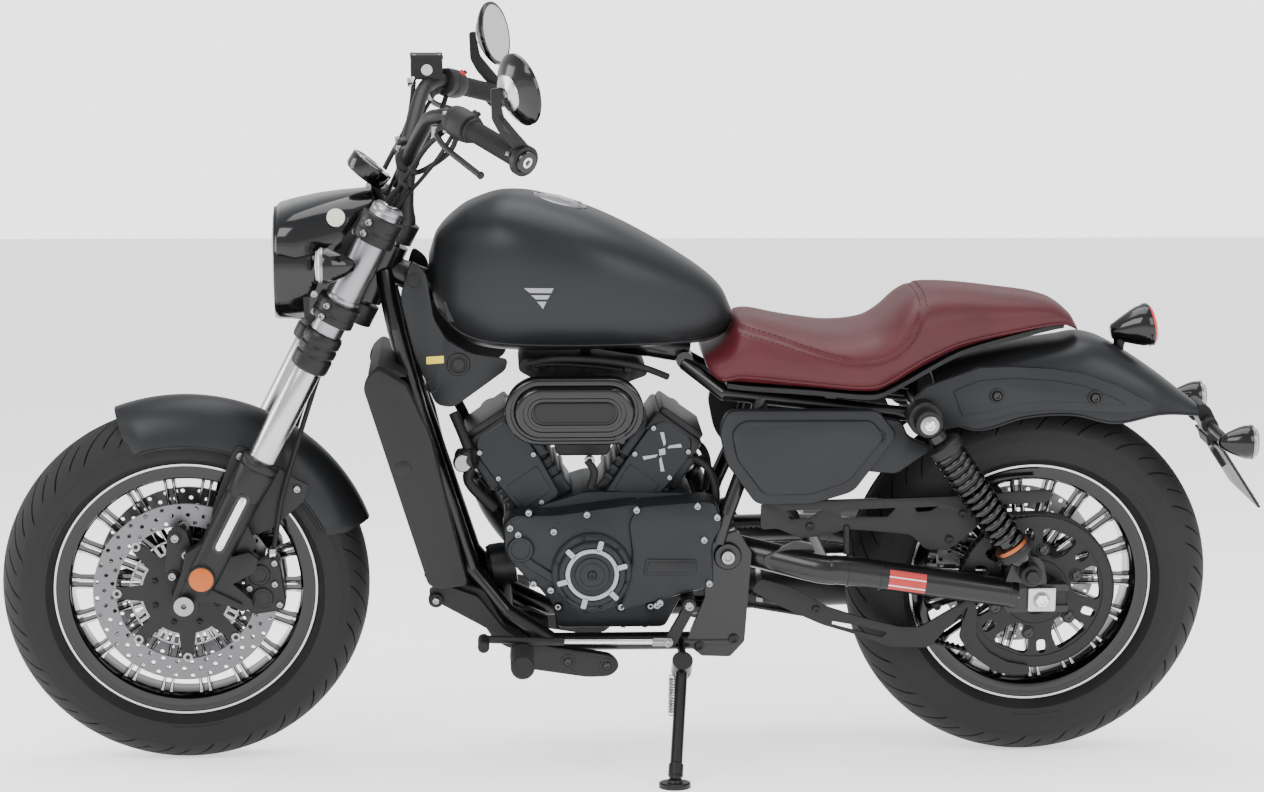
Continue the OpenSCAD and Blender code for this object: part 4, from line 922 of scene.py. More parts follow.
def triple_clamps():
    """The two fork clamps with their pinch bolts, over the stem."""
    shape = Shape("fork_clamps")
    for z, half in ((827, 19), (968, 24)):
        up = up_fork(z)
        plate = [(-8, -FORK_HALF), (-30, -40), (-30, 40), (-8, FORK_HALF), (22, FORK_HALF), (24, 30), (36, 26),
                 (40, 0),
                 (36, -26), (24, -30), (22, -FORK_HALF)]
        rows = [[ALONG_FORK @ Vector((x if x > 0 else x * 0.4, y, up + dz)) for x, y in plate] for dz in (-17, 17)]
        shape.grid(rows, SATIN_BLACK)
        for side in SIDES:
            shape.turned([(up - half, 34), (up - half + 2, 36.5), (up - 6, 36.5), (up - 5, 35.5), (up + 5, 35.5),
                          (up + 6, 36.5), (up + half - 2, 36.5), (up + half, 34)], leg_frame(side), SATIN_BLACK, 48)
            for dz in (-10, 10):
                at = leg_frame(side) @ Vector((-20, side * 31, up + dz))
                shape.bolt(at, (-0.5, side, 0), 6, STEEL, 8)
        shape.turned([(up - 18, 33), (up + 18, 33)], ALONG_FORK @ Matrix.Translation((FORK_OFFSET, 0, 0)),
                     SATIN_BLACK, 48)
    stem = ALONG_FORK @ Matrix.Translation((FORK_OFFSET, 0, 0))
    shape.turned([(up_fork(827), 16.8), (up_fork(968), 16.8)], stem, STEEL, 32)
    shape.turned([(up_fork(968) + 17, 20), (up_fork(968) + 24, 20), (up_fork(968) + 26, 17), (up_fork(968) + 26, 7),
                  (up_fork(968) + 20, 6)], stem, CHROME, 6)
    shape.made("steering", STEERED, "frame_black", smooth=38, bevel=1.0, replaces=("triple_clamps",))


LIGHT = Matrix.Translation((168, 0, 893)) @ Matrix.Rotation(pi / 2, 4, "Y")


def headlight():
    """The headlight: a domed lens over its reflector, a deep gloss shell and a peaked cowl."""
    shape = Shape("headlight_shell")
    shape.turned([(60, 4), (60, 92), (2, 93), (-2, 94), (-4, 95.5), (-2, 97), (4, 98), (58, 98), (64, 96), (84, 84),
                  (102, 66), (106, 52), (106, 4)], LIGHT, GLOSS, 96)
    shape.turned([(56, 4), (54, 30), (40, 62), (14, 86), (0, 92.5), (0, 94), (16, 88), (42, 64), (57, 31), (59, 4)],
                 LIGHT,
                 CHROME, 96)
    shape.turned([(20, 16), (24, 18), (54, 20), (56, 4)], LIGHT, STEEL, 48)
    shape.slab([(186, 886), (186, 900), (212, 896), (212, 890)], -70, 70, SATIN_BLACK)
    # cowl: sheets swept over the lamp
    rows = []
    for x, drop, crown, half in ((170, 60, 97, 101), (176, 64, 101, 103), (200, 52, 108, 104), (240, 62, 117, 98),
                                 (280, 76, 123, 88), (318, 70, 127, 74), (331, 66, 127, 66)):
        ring = []
        for j in range(41):
            a = pi * j / 40
            y = half * power(cos(a), 0.72)
            z = 893 + drop * 0.55 + (crown - drop * 0.55) * power(sin(a), 0.72)
            ring.append(Vector((x, y, z)))
        inner = [Vector((p.x, p.y * 0.965, p.z - 3.2)) for p in reversed(ring)]
        rows.append(ring + inner)
    shape.grid(rows, GLOSS)
    for side in SIDES:
        bracket = [(214, 812), (236, 806), (262, 800), (290, 846), (306, 900), (330, 962), (338, 992), (318, 1002),
                   (292, 962), (262, 930), (222, 926), (212, 880)]
        shape.slab(bracket, side * 82, side * 88, SATIN_BLACK)
        rib = [(222, 822), (256, 812), (278, 850), (292, 900), (268, 912), (228, 908)]
        shape.slab(rib, side * 87, side * 90, GLOSS)
        shape.bolts(((303, 962), (232, 855), (232, 825)), side * 88, 6.5, STEEL, 5)
        badge, _ = toward((270, side * 89.5, 986), (272, side * 140, 1010))
        shape.turned([(-3, 15.5), (1.6, 15.5), (2.4, 14.6), (2.4, 13.4), (2, 13), (2, 0.5)], badge, CREAM, 48)
    shape.made("steering", STEERED, "lamp_black", smooth=42, replaces=("headlight",))
    lens = Shape("headlight_lens")
    lens.turned([(1, 93.5), (-3, 93.6), (-6, 80), (-8, 50), (-9, 0.5), (-6, 0.4), (-5, 50), (-3, 80), (0.5, 91)],
                LIGHT,
                CLEAR_LENS, 96)
    lens.made("steering", STEERED, "lamp_black", smooth=60)


def bullet(shape, nose, way, radius, length, lens_mat, rim=STEEL):
    """A bullet lamp whose lens looks along way from nose."""
    place, _ = toward(nose, Vector(nose) + Vector(way))
    back = [(-length, 3), (-length + 3, radius * 0.3), (-length * 0.72, radius * 0.62), (-length * 0.42,
        radius * 0.9),
            (-length * 0.25, radius), (-6, radius), (-5, radius - 0.6)]
    shape.turned(back + [(-5, 0.5)], place, GLOSS, 48)
    shape.turned([(-7, radius - 1), (-7, radius + 0.8), (-3, radius + 0.8), (-2, radius - 1)], place, rim, 48)
    shape.turned([(-5, radius - 1.5), (-1, radius - 1.6), (2.5, radius * 0.8), (4.5, radius * 0.45), (5, 0.5)], place,
                 lens_mat, 48)
    for k in range(5):
        r = radius * (0.2 + 0.15 * k)
        shape.turned([(2.2 + 2.6 * (1 - k / 5), r - 1), (3.6 + 2.2 * (1 - k / 5), r), (2.2 + 2.6 * (1 - k / 5),
            r + 1)],
                     place, lens_mat, 40)


def front_signals():
    """The front turn signals on their short stalks."""
    shape = Shape("front_signal_lamps")
    for side in SIDES:
        bullet(shape, (240, side * 166, 919), (-1, 0, 0), 30, 62, FROSTED)
        shape.rod((262, side * 138, 914), (264, side * 88.5, 912), 8, SATIN_BLACK, 24, 1)
        shape.pin(262, 912, side * 96, side * 89, 13, RUBBER, 24, 2)
    shape.made("steering", STEERED, "lamp_black", smooth=45, replaces=("front_signals",))


BAR_R = 12.7
BAR_BEND = Vector((456, -222, 1176))
GRIP_OUT = Vector((560, -372, 1132))
GRIP_DIR = (GRIP_OUT - BAR_BEND).normalized()
GRIP_IN = BAR_BEND + GRIP_DIR * 64


def sided(vector, side):
    """A point or direction of the left side, taken to the given side."""
    return Vector((vector[0], -side * vector[1], vector[2]))


def handlebar():
    """The bent bar in its two tall risers."""
    shape = Shape("handlebar_tube")
    half = [Vector((392, 0, 1078)), Vector((392.4, -36, 1078)), Vector((393, -62, 1080)), Vector((404, -104, 1112)),
            Vector((424, -176, 1162)), Vector((440, -204, 1173)), BAR_BEND, BAR_BEND + GRIP_DIR * 20,
            BAR_BEND + GRIP_DIR * 60, GRIP_OUT]
    right = [Vector((p.x, -p.y, p.z)) for p in reversed(half)]
    shape.tube(right[:-1] + half, BAR_R, SATIN_BLACK, 32, 5)
    top = up_fork(968) + 19.3
    for side in SIDES:
        foot = ALONG_FORK @ Vector((FORK_OFFSET, side * 50, top))
        head = Vector((392, side * 50, 1078))
        place, length = toward(foot, head)
        shape.turned([(0, 20), (2, 21), (12, 20), (28, 15.5), (length * 0.5, 14.5), (length - 22, 16), (length - 12,
            18)],
                     place, SATIN_BLACK, 40)
        shape.rod((392, side * 32, 1078), (392, side * 68, 1079), 21, SATIN_BLACK, 40, 2)
        for dx in (-15, 15):
            shape.bolt((392 + dx, side * 50, 1094), (0, 0, 1), 4.6, STEEL, 8)
    shape.made("steering", STEERED, "frame_black", smooth=42, replaces=("handlebar",))


def grips():
    """Ribbed grips with round end weights."""
    shape = Shape("grip_rubbers")
    for side in SIDES:
        a, b = sided(GRIP_IN, side), sided(GRIP_OUT, side)
        place, length = toward(a, b)
        profile = [(0, 13), (0, 19), (2, 20.5), (7, 20.5), (9, 18)]
        count = 22
        for k in range(count):
            z = 11 + (length - 20) * k / count
            w = (length - 20) / count
            profile += [(z, 16.2), (z + 0.3 * w, 17.4), (z + 0.7 * w, 17.4), (z + w, 16.2)]
        profile += [(length - 6, 18), (length - 1, 18), (length, 17), (length, 13)]
        shape.turned(profile, place, RUBBER, 40)
        shape.turned([(length + 0.4, 6), (length + 0.4, 17.6), (length + 3, 19), (length + 22, 19), (length + 26, 17),
                      (length + 26, 9), (length + 24.5, 8)], place, GLOSS, 48)
        shape.turned([(length + 23, 9), (length + 26.6, 9), (length + 27, 8), (length + 27, 5), (length + 24, 4)],
                     place,
                     CHROME, 32)
    shape.made("steering", STEERED, "grip_rubber", smooth=40, replaces=("grips",))


# ---- Engine --------------------------------------------------------------------------------------

def turned_across(shape, x, z, profile, mat, side=-1, sides=48):
    """A turned part across the bike; its profile counts outwards from the centre plane."""
    shape.turned(profile, outward(x, z, side), mat, sides)


def rounded(outline, radius, steps=5):
    """An outline in the side view with its corners rounded."""
    found = []
    count = len(outline)
    for i in range(count):
        a, b, c = (Vector(outline[(i + k) % count]) for k in (-1, 0, 1))
        into, out = b - a, c - b
        r = min(radius, into.length * 0.45, out.length * 0.45)
        p, q = b - into.normalized() * r, b + out.normalized() * r
        for k in range(steps + 1):
            t = k / steps
            spot = p * (1 - t) ** 2 + b * 2 * t * (1 - t) + q * t ** 2
            found.append((spot.x, spot.y))
    return found


def cover(shape, outline, y0, y1, mat, radius=8, edge=5):
    """A cast cover: an outline with round corners whose outer edge is softened in two steps."""
    path = rounded(outline, radius)
    centre = Vector((sum(p[0] for p in path) / len(path), sum(p[1] for p in path) / len(path)))
    out = 1 if y1 > y0 else -1
    rows = []
    for y, shrink in ((y0, 0), (y1 - out * edge, 0), (y1 - out * edge * 0.3, edge * 0.32), (y1, edge)):
        row = []
        for p in path:
            inward = centre - Vector(p)
            q = Vector(p) + inward.normalized() * min(shrink, inward.length)
            row.append(Vector((q.x, y, q.y)))
        rows.append(row)
    shape.grid(rows, mat)


def crankcase():
    """The crankcase with its left covers, round alternator cover and right clutch cover."""
    shape = Shape("engine_crankcase")
    core = [(560, 415), (604, 345), (640, 300), (650, 256), (838, 256), (860, 300), (880, 330), (900, 440),
            (880, 498),
            (700, 503), (556, 456)]
    cover(shape, core, 84, -84, ENGINE, 10, 4)
    front = [(554, 459), (572, 474), (640, 474), (700, 482), (792, 494), (800, 400), (770, 304), (700, 314),
             (606, 345),
             (556, 404)]
    cover(shape, front, -80, -136, ENGINE, 16, 9)
    rear = [(754, 302), (918, 345), (915, 423), (934, 456), (920, 494), (905, 499), (786, 490), (768, 462),
            (776, 400)]
    cover(shape, rear, -80, -143, ENGINE, 14, 9)
    ridge = [(560, 424), (592, 384), (640, 352), (700, 330), (744, 324), (744, 334), (700, 342), (646, 364),
             (602, 394),
             (572, 432)]
    cover(shape, ridge, -130, -140, ENGINE, 6, 3)
    turned_across(shape, *ALTERNATOR, [(130, 70), (142, 70), (148, 66), (149, 64), (149, 60), (151, 59), (156, 56),
                                       (157, 54),
                                    (157, 48), (155, 47), (155, 30), (158, 29), (158, 22), (160, 20), (160,
                                        8), (157, 7),
                                    (157, 0.5)], ENGINE, sides=72)
    turned_across(shape, *ALTERNATOR, [(150, 46), (158, 46), (159, 45), (159, 39), (158, 38), (150, 38)], STEEL,
                  sides=72)
    for k in range(6):
        turn = radians(60 * k + 15)
        arm = [(43, -4.5), (60, -4.5), (62, -3), (62, 3), (60, 4.5), (43, 4.5)]
        rows = [[Vector((707 + r * cos(turn) - t * sin(turn), y, 373 + r * sin(turn) + t * cos(turn))) for r,
                 t in arm]
                for y in (-150, -159)]
        shape.grid(rows, STEEL)
        shape.bolt((707 + 64 * cos(turn + 0.5), -148, 373 + 64 * sin(turn + 0.5)), (0, -1, 0), 3.2, ENGINE, 3)
    shape.bolts([(707, 373)], -158.5, 7, SATIN_BLACK, 4)
    turned_across(shape, 584, 414, [(128, 23), (140, 23), (143, 21), (143, 17), (141, 16), (141, 0.5)], ENGINE)
    # blank plate on the drive cover
    cover(shape, ((796, 368), (886, 368), (890, 395), (800, 397)), -138, -145.4, ENGINE, 5, 1.5)
    cover(shape, ((801, 373), (882, 373), (885, 391), (804, 392)), -140, -146.4, SATIN_BLACK, 3, 1)
    shape.bolts(((580, 440), (641, 445), (598, 479), (698, 475), (700, 320), (636, 341), (606, 352), (566, 452),
                 (820, 312), (758, 310)), -133, 6.5, STEEL, 8)
    shape.bolts(((783, 484), (888, 490), (910, 352), (922, 470), (900, 430), (825, 318)), -140, 6.5, STEEL, 7)
    for x in (650, 700, 760, 812):
        shape.rod((x, -60, 302), (x, -88, 292), 9, ENGINE, 16, 1)
        shape.bolt((x, -86, 296), (0, -1, 0), 6, STEEL, 6)
    for k in range(5):
        shape.block((648 + 38 * k, -60, 248), (656 + 38 * k, 60, 258), ENGINE)
    # right side: clutch cover
    cover(shape, [(604, 420), (640, 340), (700, 318), (830, 318), (900, 360), (896, 440), (860, 478), (690, 472),
                  (620, 462)],
          80, 143, ENGINE, 22, 10)
    turned_across(shape, *CLUTCH, [(138, 64), (150, 64), (158, 58), (163, 50), (163, 40), (160, 38), (160, 0.5)],
                  ENGINE, 1,
                  64)
    turned_across(shape, *ALTERNATOR, [(138, 70), (150, 70), (156, 66), (157, 56), (155, 54), (155, 0.5)], ENGINE,
                  1, 64)
    for k in range(9):
        turn = radians(40 * k)
        shape.bolt((707 + 63 * cos(turn), 155, 373 + 63 * sin(turn)), (0, 1, 0), 4.5, STEEL, 5)
        shape.bolt((824 + 55 * cos(turn), 158, 398 + 55 * sin(turn)), (0, 1, 0), 4.5, STEEL, 5)
    # front oil filter
    place, _ = toward((566, 0, 352), (530, 0, 346))
    shape.turned([(-10, 36), (4, 37), (10, 38), (30, 38), (36, 34), (38, 24), (38, 0.5)], place, SATIN_BLACK, 32)
    for k in range(12):
        turn = 2 * pi * k / 12
        shape.rod(place @ Vector((36 * cos(turn), 36 * sin(turn), 28)), place @ Vector((33 * cos(turn),
            33 * sin(turn), 37)),
                  2.5, SATIN_BLACK, 8)
    turned_across(shape, 890, 395, [(79.4, 41.5), (108.6, 41.5)], STEEL)
    shape.made("chassis", slot="engine_grey", smooth=32, replaces=("crankcase",))


def cylinder(name, node, lean):
    """One cylinder: barrel with shallow ribs, head, rocker cover with its screws, and side plates."""
    shape = Shape(name)
    place = Matrix.Translation((CRANK[0], 0, CRANK[1])) @ Matrix.Rotation(lean * VEE_HALF, 4, "Y")

    def box(x0, x1, z0, z1, half, mat=ENGINE, radius=8, edge=5):
        path = rounded([(x0, z0), (x1, z0), (x1, z1), (x0, z1)], radius)
        middle = Vector(((x0 + x1) / 2, (z0 + z1) / 2))
        rows = []
        for y, shrink in ((half, edge), (half - edge * 0.3, edge * 0.3), (half - edge, 0), (-half + edge, 0),
                          (-half + edge * 0.3, edge * 0.3), (-half, edge)):
            row = []
            for p in path:
                inward = (middle - Vector(p)).normalized() * shrink
                row.append(place @ Vector((p[0] + inward.x, y, p[1] + inward.y)))
            rows.append(row)
        shape.grid(rows, mat)

    box(-54, 54, 110, 200, 60)
    for z in (140, 158, 176):
        box(-58, 58, z, z + 9, 66, radius=3, edge=2)
    box(-60, 60, 190, 262, 70, radius=6, edge=6)
    # rocker cover and its top plate use the darker satin black instead of the engine paint: partly their own black,
    # partly painted shade that keeps their up-facing tops dark under the top lamp
    box(-50, 50, 250, 290, 77, SATIN_BLACK, radius=10, edge=6)
    box(-44, 44, 288, 301, 70, SATIN_BLACK, radius=8, edge=5)
    for side in SIDES:
        # chain cover and head side plate
        outline = [(-40, 118), (34, 118), (44, 196), (44, 262), (30, 286), (-30, 286), (-44, 262), (-44, 196)]
        path = rounded(outline, 10)
        rows = [[place @ Vector((x * k, side * y, 200 + (z - 200) * k)) for x, z in path] for y, k in
                ((60, 1), (76, 1), (79, 0.95))]
        shape.grid(rows, ENGINE)
        for x, z in ((-37, 206), (37, 206), (-37, 262), (37, 262), (0, 128)):
            at = place @ Vector((x, side * 78, z))
            shape.bolt(at, (0, side, 0), 5, STEEL, 5)
        rib = [(-30, 136), (26, 136), (30, 186), (-34, 186)]
        rows = [[place @ Vector((x, side * y, z)) for x, z in rounded(rib, 6)] for y in (78, 81)]
        shape.grid(rows, ENGINE)
    for x in (-38, 38):
        for y in (-62, 0, 62):
            shape.bolt(place @ Vector((x, y, 289)), place.to_3x3() @ Vector((0, 0, 1)), 5, STEEL, 8)
    # intake and exhaust spigots
    shape.turned([(0, 28), (86, 28), (86, 0.5)], place @ Matrix.Translation((0, 0, 226)) @ Matrix.Rotation(-pi / 2,
        4, "X"),
                 ENGINE, 32)
    stub = place @ Matrix.Translation((lean * 52, -20, 236)) @ Matrix.Rotation(lean * pi / 2, 4, "Y")
    shape.turned([(0, 21), (18, 21), (20, 25), (26, 25), (27, 21), (27, 3)], stub, SATIN_BLACK, 32)
    shape.turned([(8, 21.5), (9, 23), (15, 23), (16, 21.5)], stub, STEEL, 32)
    if lean > 0:
        # three-part ornament on the rear head
        for shape_line in (((-26, 214), (-4, 232), (-4, 226), (-20, 210)), ((26, 214), (4, 232), (4, 226), (20, 210)),
                           ((-8, 240), (0, 248), (8, 240), (0, 232)), ((-26, 266), (-4, 250), (-4, 256), (-20, 270)),
                           ((26, 266), (4, 250), (4, 256), (20, 270))):
            rows = [[place @ Vector((x * 0.9, y, z - 4)) for x, z in shape_line] for y in (-78, -80.2)]
            shape.grid(rows, STEEL)
    shape.made("chassis", slot="engine_grey", smooth=32, replaces=(node,))


def oval(half_long, radius, count=24):
    """A stadium outline about the air filter's centre."""
    found = []
    for k in range(count + 1):
        a = -pi / 2 + pi * k / count
        found.append((FILTER[0] + half_long + radius * cos(a), FILTER[1] + radius * sin(a)))
    for k in range(count + 1):
        a = pi / 2 + pi * k / count
        found.append((FILTER[0] - half_long + radius * cos(a), FILTER[1] + radius * sin(a)))
    return found


def air_filter():
    """The long oval filter cover: stepped gloss rims round a recessed centre and a blank badge."""
    shape = Shape("air_filter_cover_shell")
    rows = [[Vector((x, -y, z)) for x, z in oval(half, radius)] for y, half, radius in
            ((112, 60, 50), (118, 60, 58), (138, 60, 59), (143, 60, 57), (145, 59, 54), (145, 58, 51), (142, 58, 50),
             (142, 58, 46), (150, 58, 44), (155, 57, 41), (156, 56, 38), (156, 55, 33), (153, 55, 32), (153, 54, 26),
             (155, 54, 25), (155, 53, 21), (152, 53, 20))]
    shape.grid(rows, GLOSS)
    rows = [[Vector((x, -y, z)) for x, z in oval(half, radius)] for y, half, radius in
            ((150, 53, 18), (157, 53, 18), (158, 52.4, 17), (158, 52.4, 15.5), (157, 52, 15))]
    shape.grid(rows, SATIN_BLACK)
    for k in range(4):
        shape.block((556 + 4 * k, -140, 682 - 14 * k), (604, -132, 686 - 14 * k), GLOSS)
    tail = [(742, 604), (762, 598), (768, 640), (752, 650)]
    cover(shape, tail, -112, -144, GLOSS, 6, 4)
    shape.made("chassis", slot="gloss_black", smooth=40, replaces=("air_filter_cover",))
    back = Shape("intake_box")
    cover(back, [(586, 734), (580, 712), (620, 690), (648, 560), (738, 560), (770, 690), (808, 704), (792, 724),
                 (700, 733)],
          62, -62, PLASTIC, 10, 5)
    back.turned([(56, 48), (118, 48)], across(*FILTER), PLASTIC, 40)
    for x in (612, 640, 700, 742, 770):
        back.rod((x, -64, 716), (x, -76, 716), 7, SATIN_BLACK, 16, 1)
    back.rod((700, 0, 726), (700, 0, 739), 10, RUBBER, 20)
    back.tube([(600, -70, 726), (650, -92, 738), (720, -96, 736), (790, -80, 722), (840, -60, 700)], 6, RUBBER, 12, 6)
    back.tube([(596, -60, 716), (630, -84, 728), (700, -88, 726), (760, -74, 716)], 4, RUBBER, 10, 6)
    back.made("chassis", slot="black_plastic", smooth=38, replaces=("air_box",))


def neck_and_radiator():
    """The covers at the steering head, the radiator shroud with its core, and the chin cover."""
    shape = Shape("neck_cover_panels")
    outline = [(399, 908), (380, 845), (404, 740), (440, 655), (470, 650), (560, 716), (564, 734), (500, 744),
               (458, 770),
               (436, 806), (424, 888)]
    for side in SIDES:
        cover(shape, outline, side * 66, side * 77, PANEL, 12, 3)
        for x, z, r in ((404, 872, 11), (433, 688, 9)):
            turned_across(shape, x, z, [(70, r + 2), (78.4, r + 2), (78.8, r + 1), (78.8, r), (74, r - 1), (74, 0.5)],
                          SATIN_BLACK, side)
        turned_across(shape, 479, 727, [(72, 20), (79, 20), (80, 19), (80, 15), (78, 14), (78, 11), (80, 10),
                                        (80, 0.5)],
                      SATIN_BLACK, side)
        cover(shape, [(452, 838), (470, 838), (478, 800), (462, 800)], side * 66, side * 76, PANEL, 5, 2)
    cover(shape, [(424, 727), (454, 729), (454, 742), (424, 740)], -76, -77.9, BLANK_LABEL, 2, 0.4)
    shape.made("chassis", slot="black_plastic", smooth=35, replaces=("neck_covers",))

    grille = Shape("radiator_shroud")
    side_line = [(343, 735), (326, 720), (318, 700), (426, 352), (446, 346), (494, 352), (434, 610), (420, 645),
                 (392, 706)]
    for side in SIDES:
        cover(grille, side_line, side * 124, side * 150, PLASTIC, 9, 7)
        turned_across(grille, 384, 560, [(146, 14), (151, 14), (152, 12), (152, 0.5)], SATIN_BLACK, side)
    grille.slab([(343, 735), (326, 720), (334, 700), (352, 712), (392, 716), (374, 726)], -126, 126, PLASTIC)
    grille.slab([(418, 366), (426, 352), (446, 346), (472, 352), (462, 372), (436, 366)], -126, 126, PLASTIC)
    grille.slab([(338, 700), (434, 372), (460, 378), (364, 704)], -124, 124, SATIN_BLACK)
    for k in range(44):
        up = k / 43
        x, z = 334 + 96 * up, 698 - 324 * up
        grille.block((x - 1.5, -122, z - 1.2), (x + 5, 122, z + 1.2), ENGINE)
    for k in range(13):
        y = -114 + 19 * k
        grille.slab([(332, 700), (428, 372), (432, 373), (336, 701)], y - 1, y + 1, ENGINE)
    grille.made("chassis", slot="black_plastic", smooth=35, replaces=("radiator",))

    chin = Shape("chin_spoiler")
    line = [(440, 338), (500, 300), (535, 240), (560, 222), (628, 210), (640, 222), (572, 248), (552, 276),
            (520, 330),
            (470, 343)]
    cover(chin, line, 92, -92, PLASTIC, 10, 6)
    for side in SIDES:
        chin.slab(rounded([(424, 332), (442, 312), (520, 268), (592, 224), (600, 236), (556, 262), (510, 322),
                           (452, 344)], 6),
                  side * 92, side * 112, PLASTIC)
        turned_across(chin, 438, 318, [(100, 13), (118, 13), (121, 11), (121, 7), (119, 6.5)], RUBBER, side)
        chin.bolt((438, side * 119, 318), (0, side, 0), 6, STEEL, 5)
    chin.made("chassis", slot="black_plastic", smooth=38, replaces=("chin_cover",))


# ---- Rear end ------------------------------------------------------------------------------------

def side_covers():
    """The stepped panels below the seat, with a fixing knob at the rear."""
    outer = [(938, 656), (1196, 656), (1232, 613), (1158, 512), (1086, 490), (990, 490), (936, 565), (924, 623)]
    inner = [(962, 640), (1186, 640), (1210, 611), (1148, 530), (1082, 508), (1002, 508), (954, 572), (944, 620)]
    tail = [(1150, 600), (1190, 642), (1240, 634), (1252, 606), (1296, 585), (1233, 540), (1180, 545)]
    shape = Shape("side_cover_panels")
    for side in SIDES:
        cover(shape, outer, side * 118, side * 139, PANEL, 14, 5)
        cover(shape, inner, side * 134, side * 146, PANEL, 12, 7)
        cover(shape, tail, side * 108, side * 127, PANEL, 10, 5)
        turned_across(shape, 1200, 610, [(136, 11), (143, 11), (144, 10), (144, 8), (142, 7), (142, 0.5)],
                      SATIN_BLACK, side)
        shape.pin(989, 620, side * 110, side * 120, 8, RUBBER, 16)
    shape.made("chassis", slot="black_plastic", smooth=35, replaces=("side_covers",))


def swingarm():
    """The swingarm's round arms, cross tube, gussets and slotted axle ends."""
    shape = Shape("swingarm_tubes")
    shape.pin(943, 395, -78, 78, 30, FRAME_BLACK, 40, 2)
    shape.pin(1108, 375, -118, 118, 16, FRAME_BLACK, 32)
    for side in SIDES:
        y = side * 140
        shape.tube([(943, side * 54, 395), (960, side * 64, 393), (1020, side * 96, 386), (1090, side * 132, 377),
                    (1120, y, 374), (1160, y, 371), (1440, y, 329)], 25.4, FRAME_BLACK, 32, 5)
        # cut-back end of the tube and its tapered cap
        shape.rod((1432, y, 330), (1446, y, 328), 26.5, FRAME_BLACK, 32, 1.5)
        end = [(1424, 350), (1444, 352), (1470, 348), (1532, 348), (1536, 344), (1536, 336), (1474, 336), (1474, 310),
               (1536, 310), (1536, 302), (1532, 298), (1430, 298), (1424, 308)]
        shape.slab(end, y - 12, y + 12, FRAME_BLACK)
        shape.slab([(1470, 338), (1532, 338), (1532, 308), (1470, 308)], y - 8, y + 8, SATIN_BLACK)
        ear = rounded([(1420, 338), (1440, 402), (1488, 396), (1500, 344)], 16)
        shape.slab(ear, y - 12, y + 12, FRAME_BLACK)
        turned_across(shape, *SHOCK_LOW, [(128, 19), (156, 19), (158, 17), (158, 10)], FRAME_BLACK, side)
        for x, z in ((1150, 372), (1206, 364)):
            shape.rod((x, y, z), (x + 3, y, z - 0.4), 27, FRAME_BLACK, 32)
        shape.slab(rounded([(1004, 392), (1060, 420), (1090, 416), (1100, 384), (1060, 362), (1010, 372)], 10),
                   side * 112, side * 122, FRAME_BLACK)
        if side < 0:
            label = [(1222, 379), (1286, 371), (1282, 334), (1218, 342)]
            for lift, lines, mat in ((0.5, ((0, 1),), LABEL_WHITE), (0.7, ((0, 0.3), (0.36, 0.72), (0.8, 1)),
                                                                     LABEL_RED)):
                for low, high in lines:
                    rows = []
                    for t in [low + (high - low) * k / 6 for k in range(7)]:
                        row = []
                        for s in (0, 1):
                            x = label[0][0] + (label[1][0] - label[0][0]) * s - 4 * t
                            mid = 371 - 42 * (x - 1160) / 280
                            a = radians(42 - 84 * t)
                            row.append(Vector((x, y - (25.4 + lift) * cos(a), mid + (25.4 + lift) * sin(a))))
                        rows.append(row)
                    shape.grid(rows, mat, closed=False)
    shape.made("chassis", slot="frame_black", smooth=38, replaces=("swingarm",))


def axle_blocks():
    """The rear spindle, its nuts, and the bright adjuster blocks with their draw bolts."""
    shape = Shape("rear_axle_adjusters")
    shape.pin(1487, REAR_R, -160, 160, 11, STEEL, 32)
    for side in SIDES:
        cover(shape, [(1464, 302), (1512, 302), (1512, 344), (1464, 344)], side * 152, side * 161, MACHINED, 3, 1.5)
        place = outward(1487, REAR_R, side)
        shape.turned([(160, 15), (162, 15), (162, 8)], place, STEEL, 40)
        shape.turned([(161, 12.5), (171, 12.5), (172, 11.5), (172, 7), (170, 6)], place, CHROME, 6)
        shape.rod((1512, side * 146, 323), (1440, side * 146, 326), 3.6, STEEL, 16)
        shape.rod((1442, side * 146, 325.9), (1450, side * 146, 325.6), 7, CHROME, 6, 0.6)
        shape.turned([(73, 17), (127, 17)], place, STEEL, 32)
    shape.made("chassis", slot="bright_steel", smooth=32, replaces=("rear_axle",))


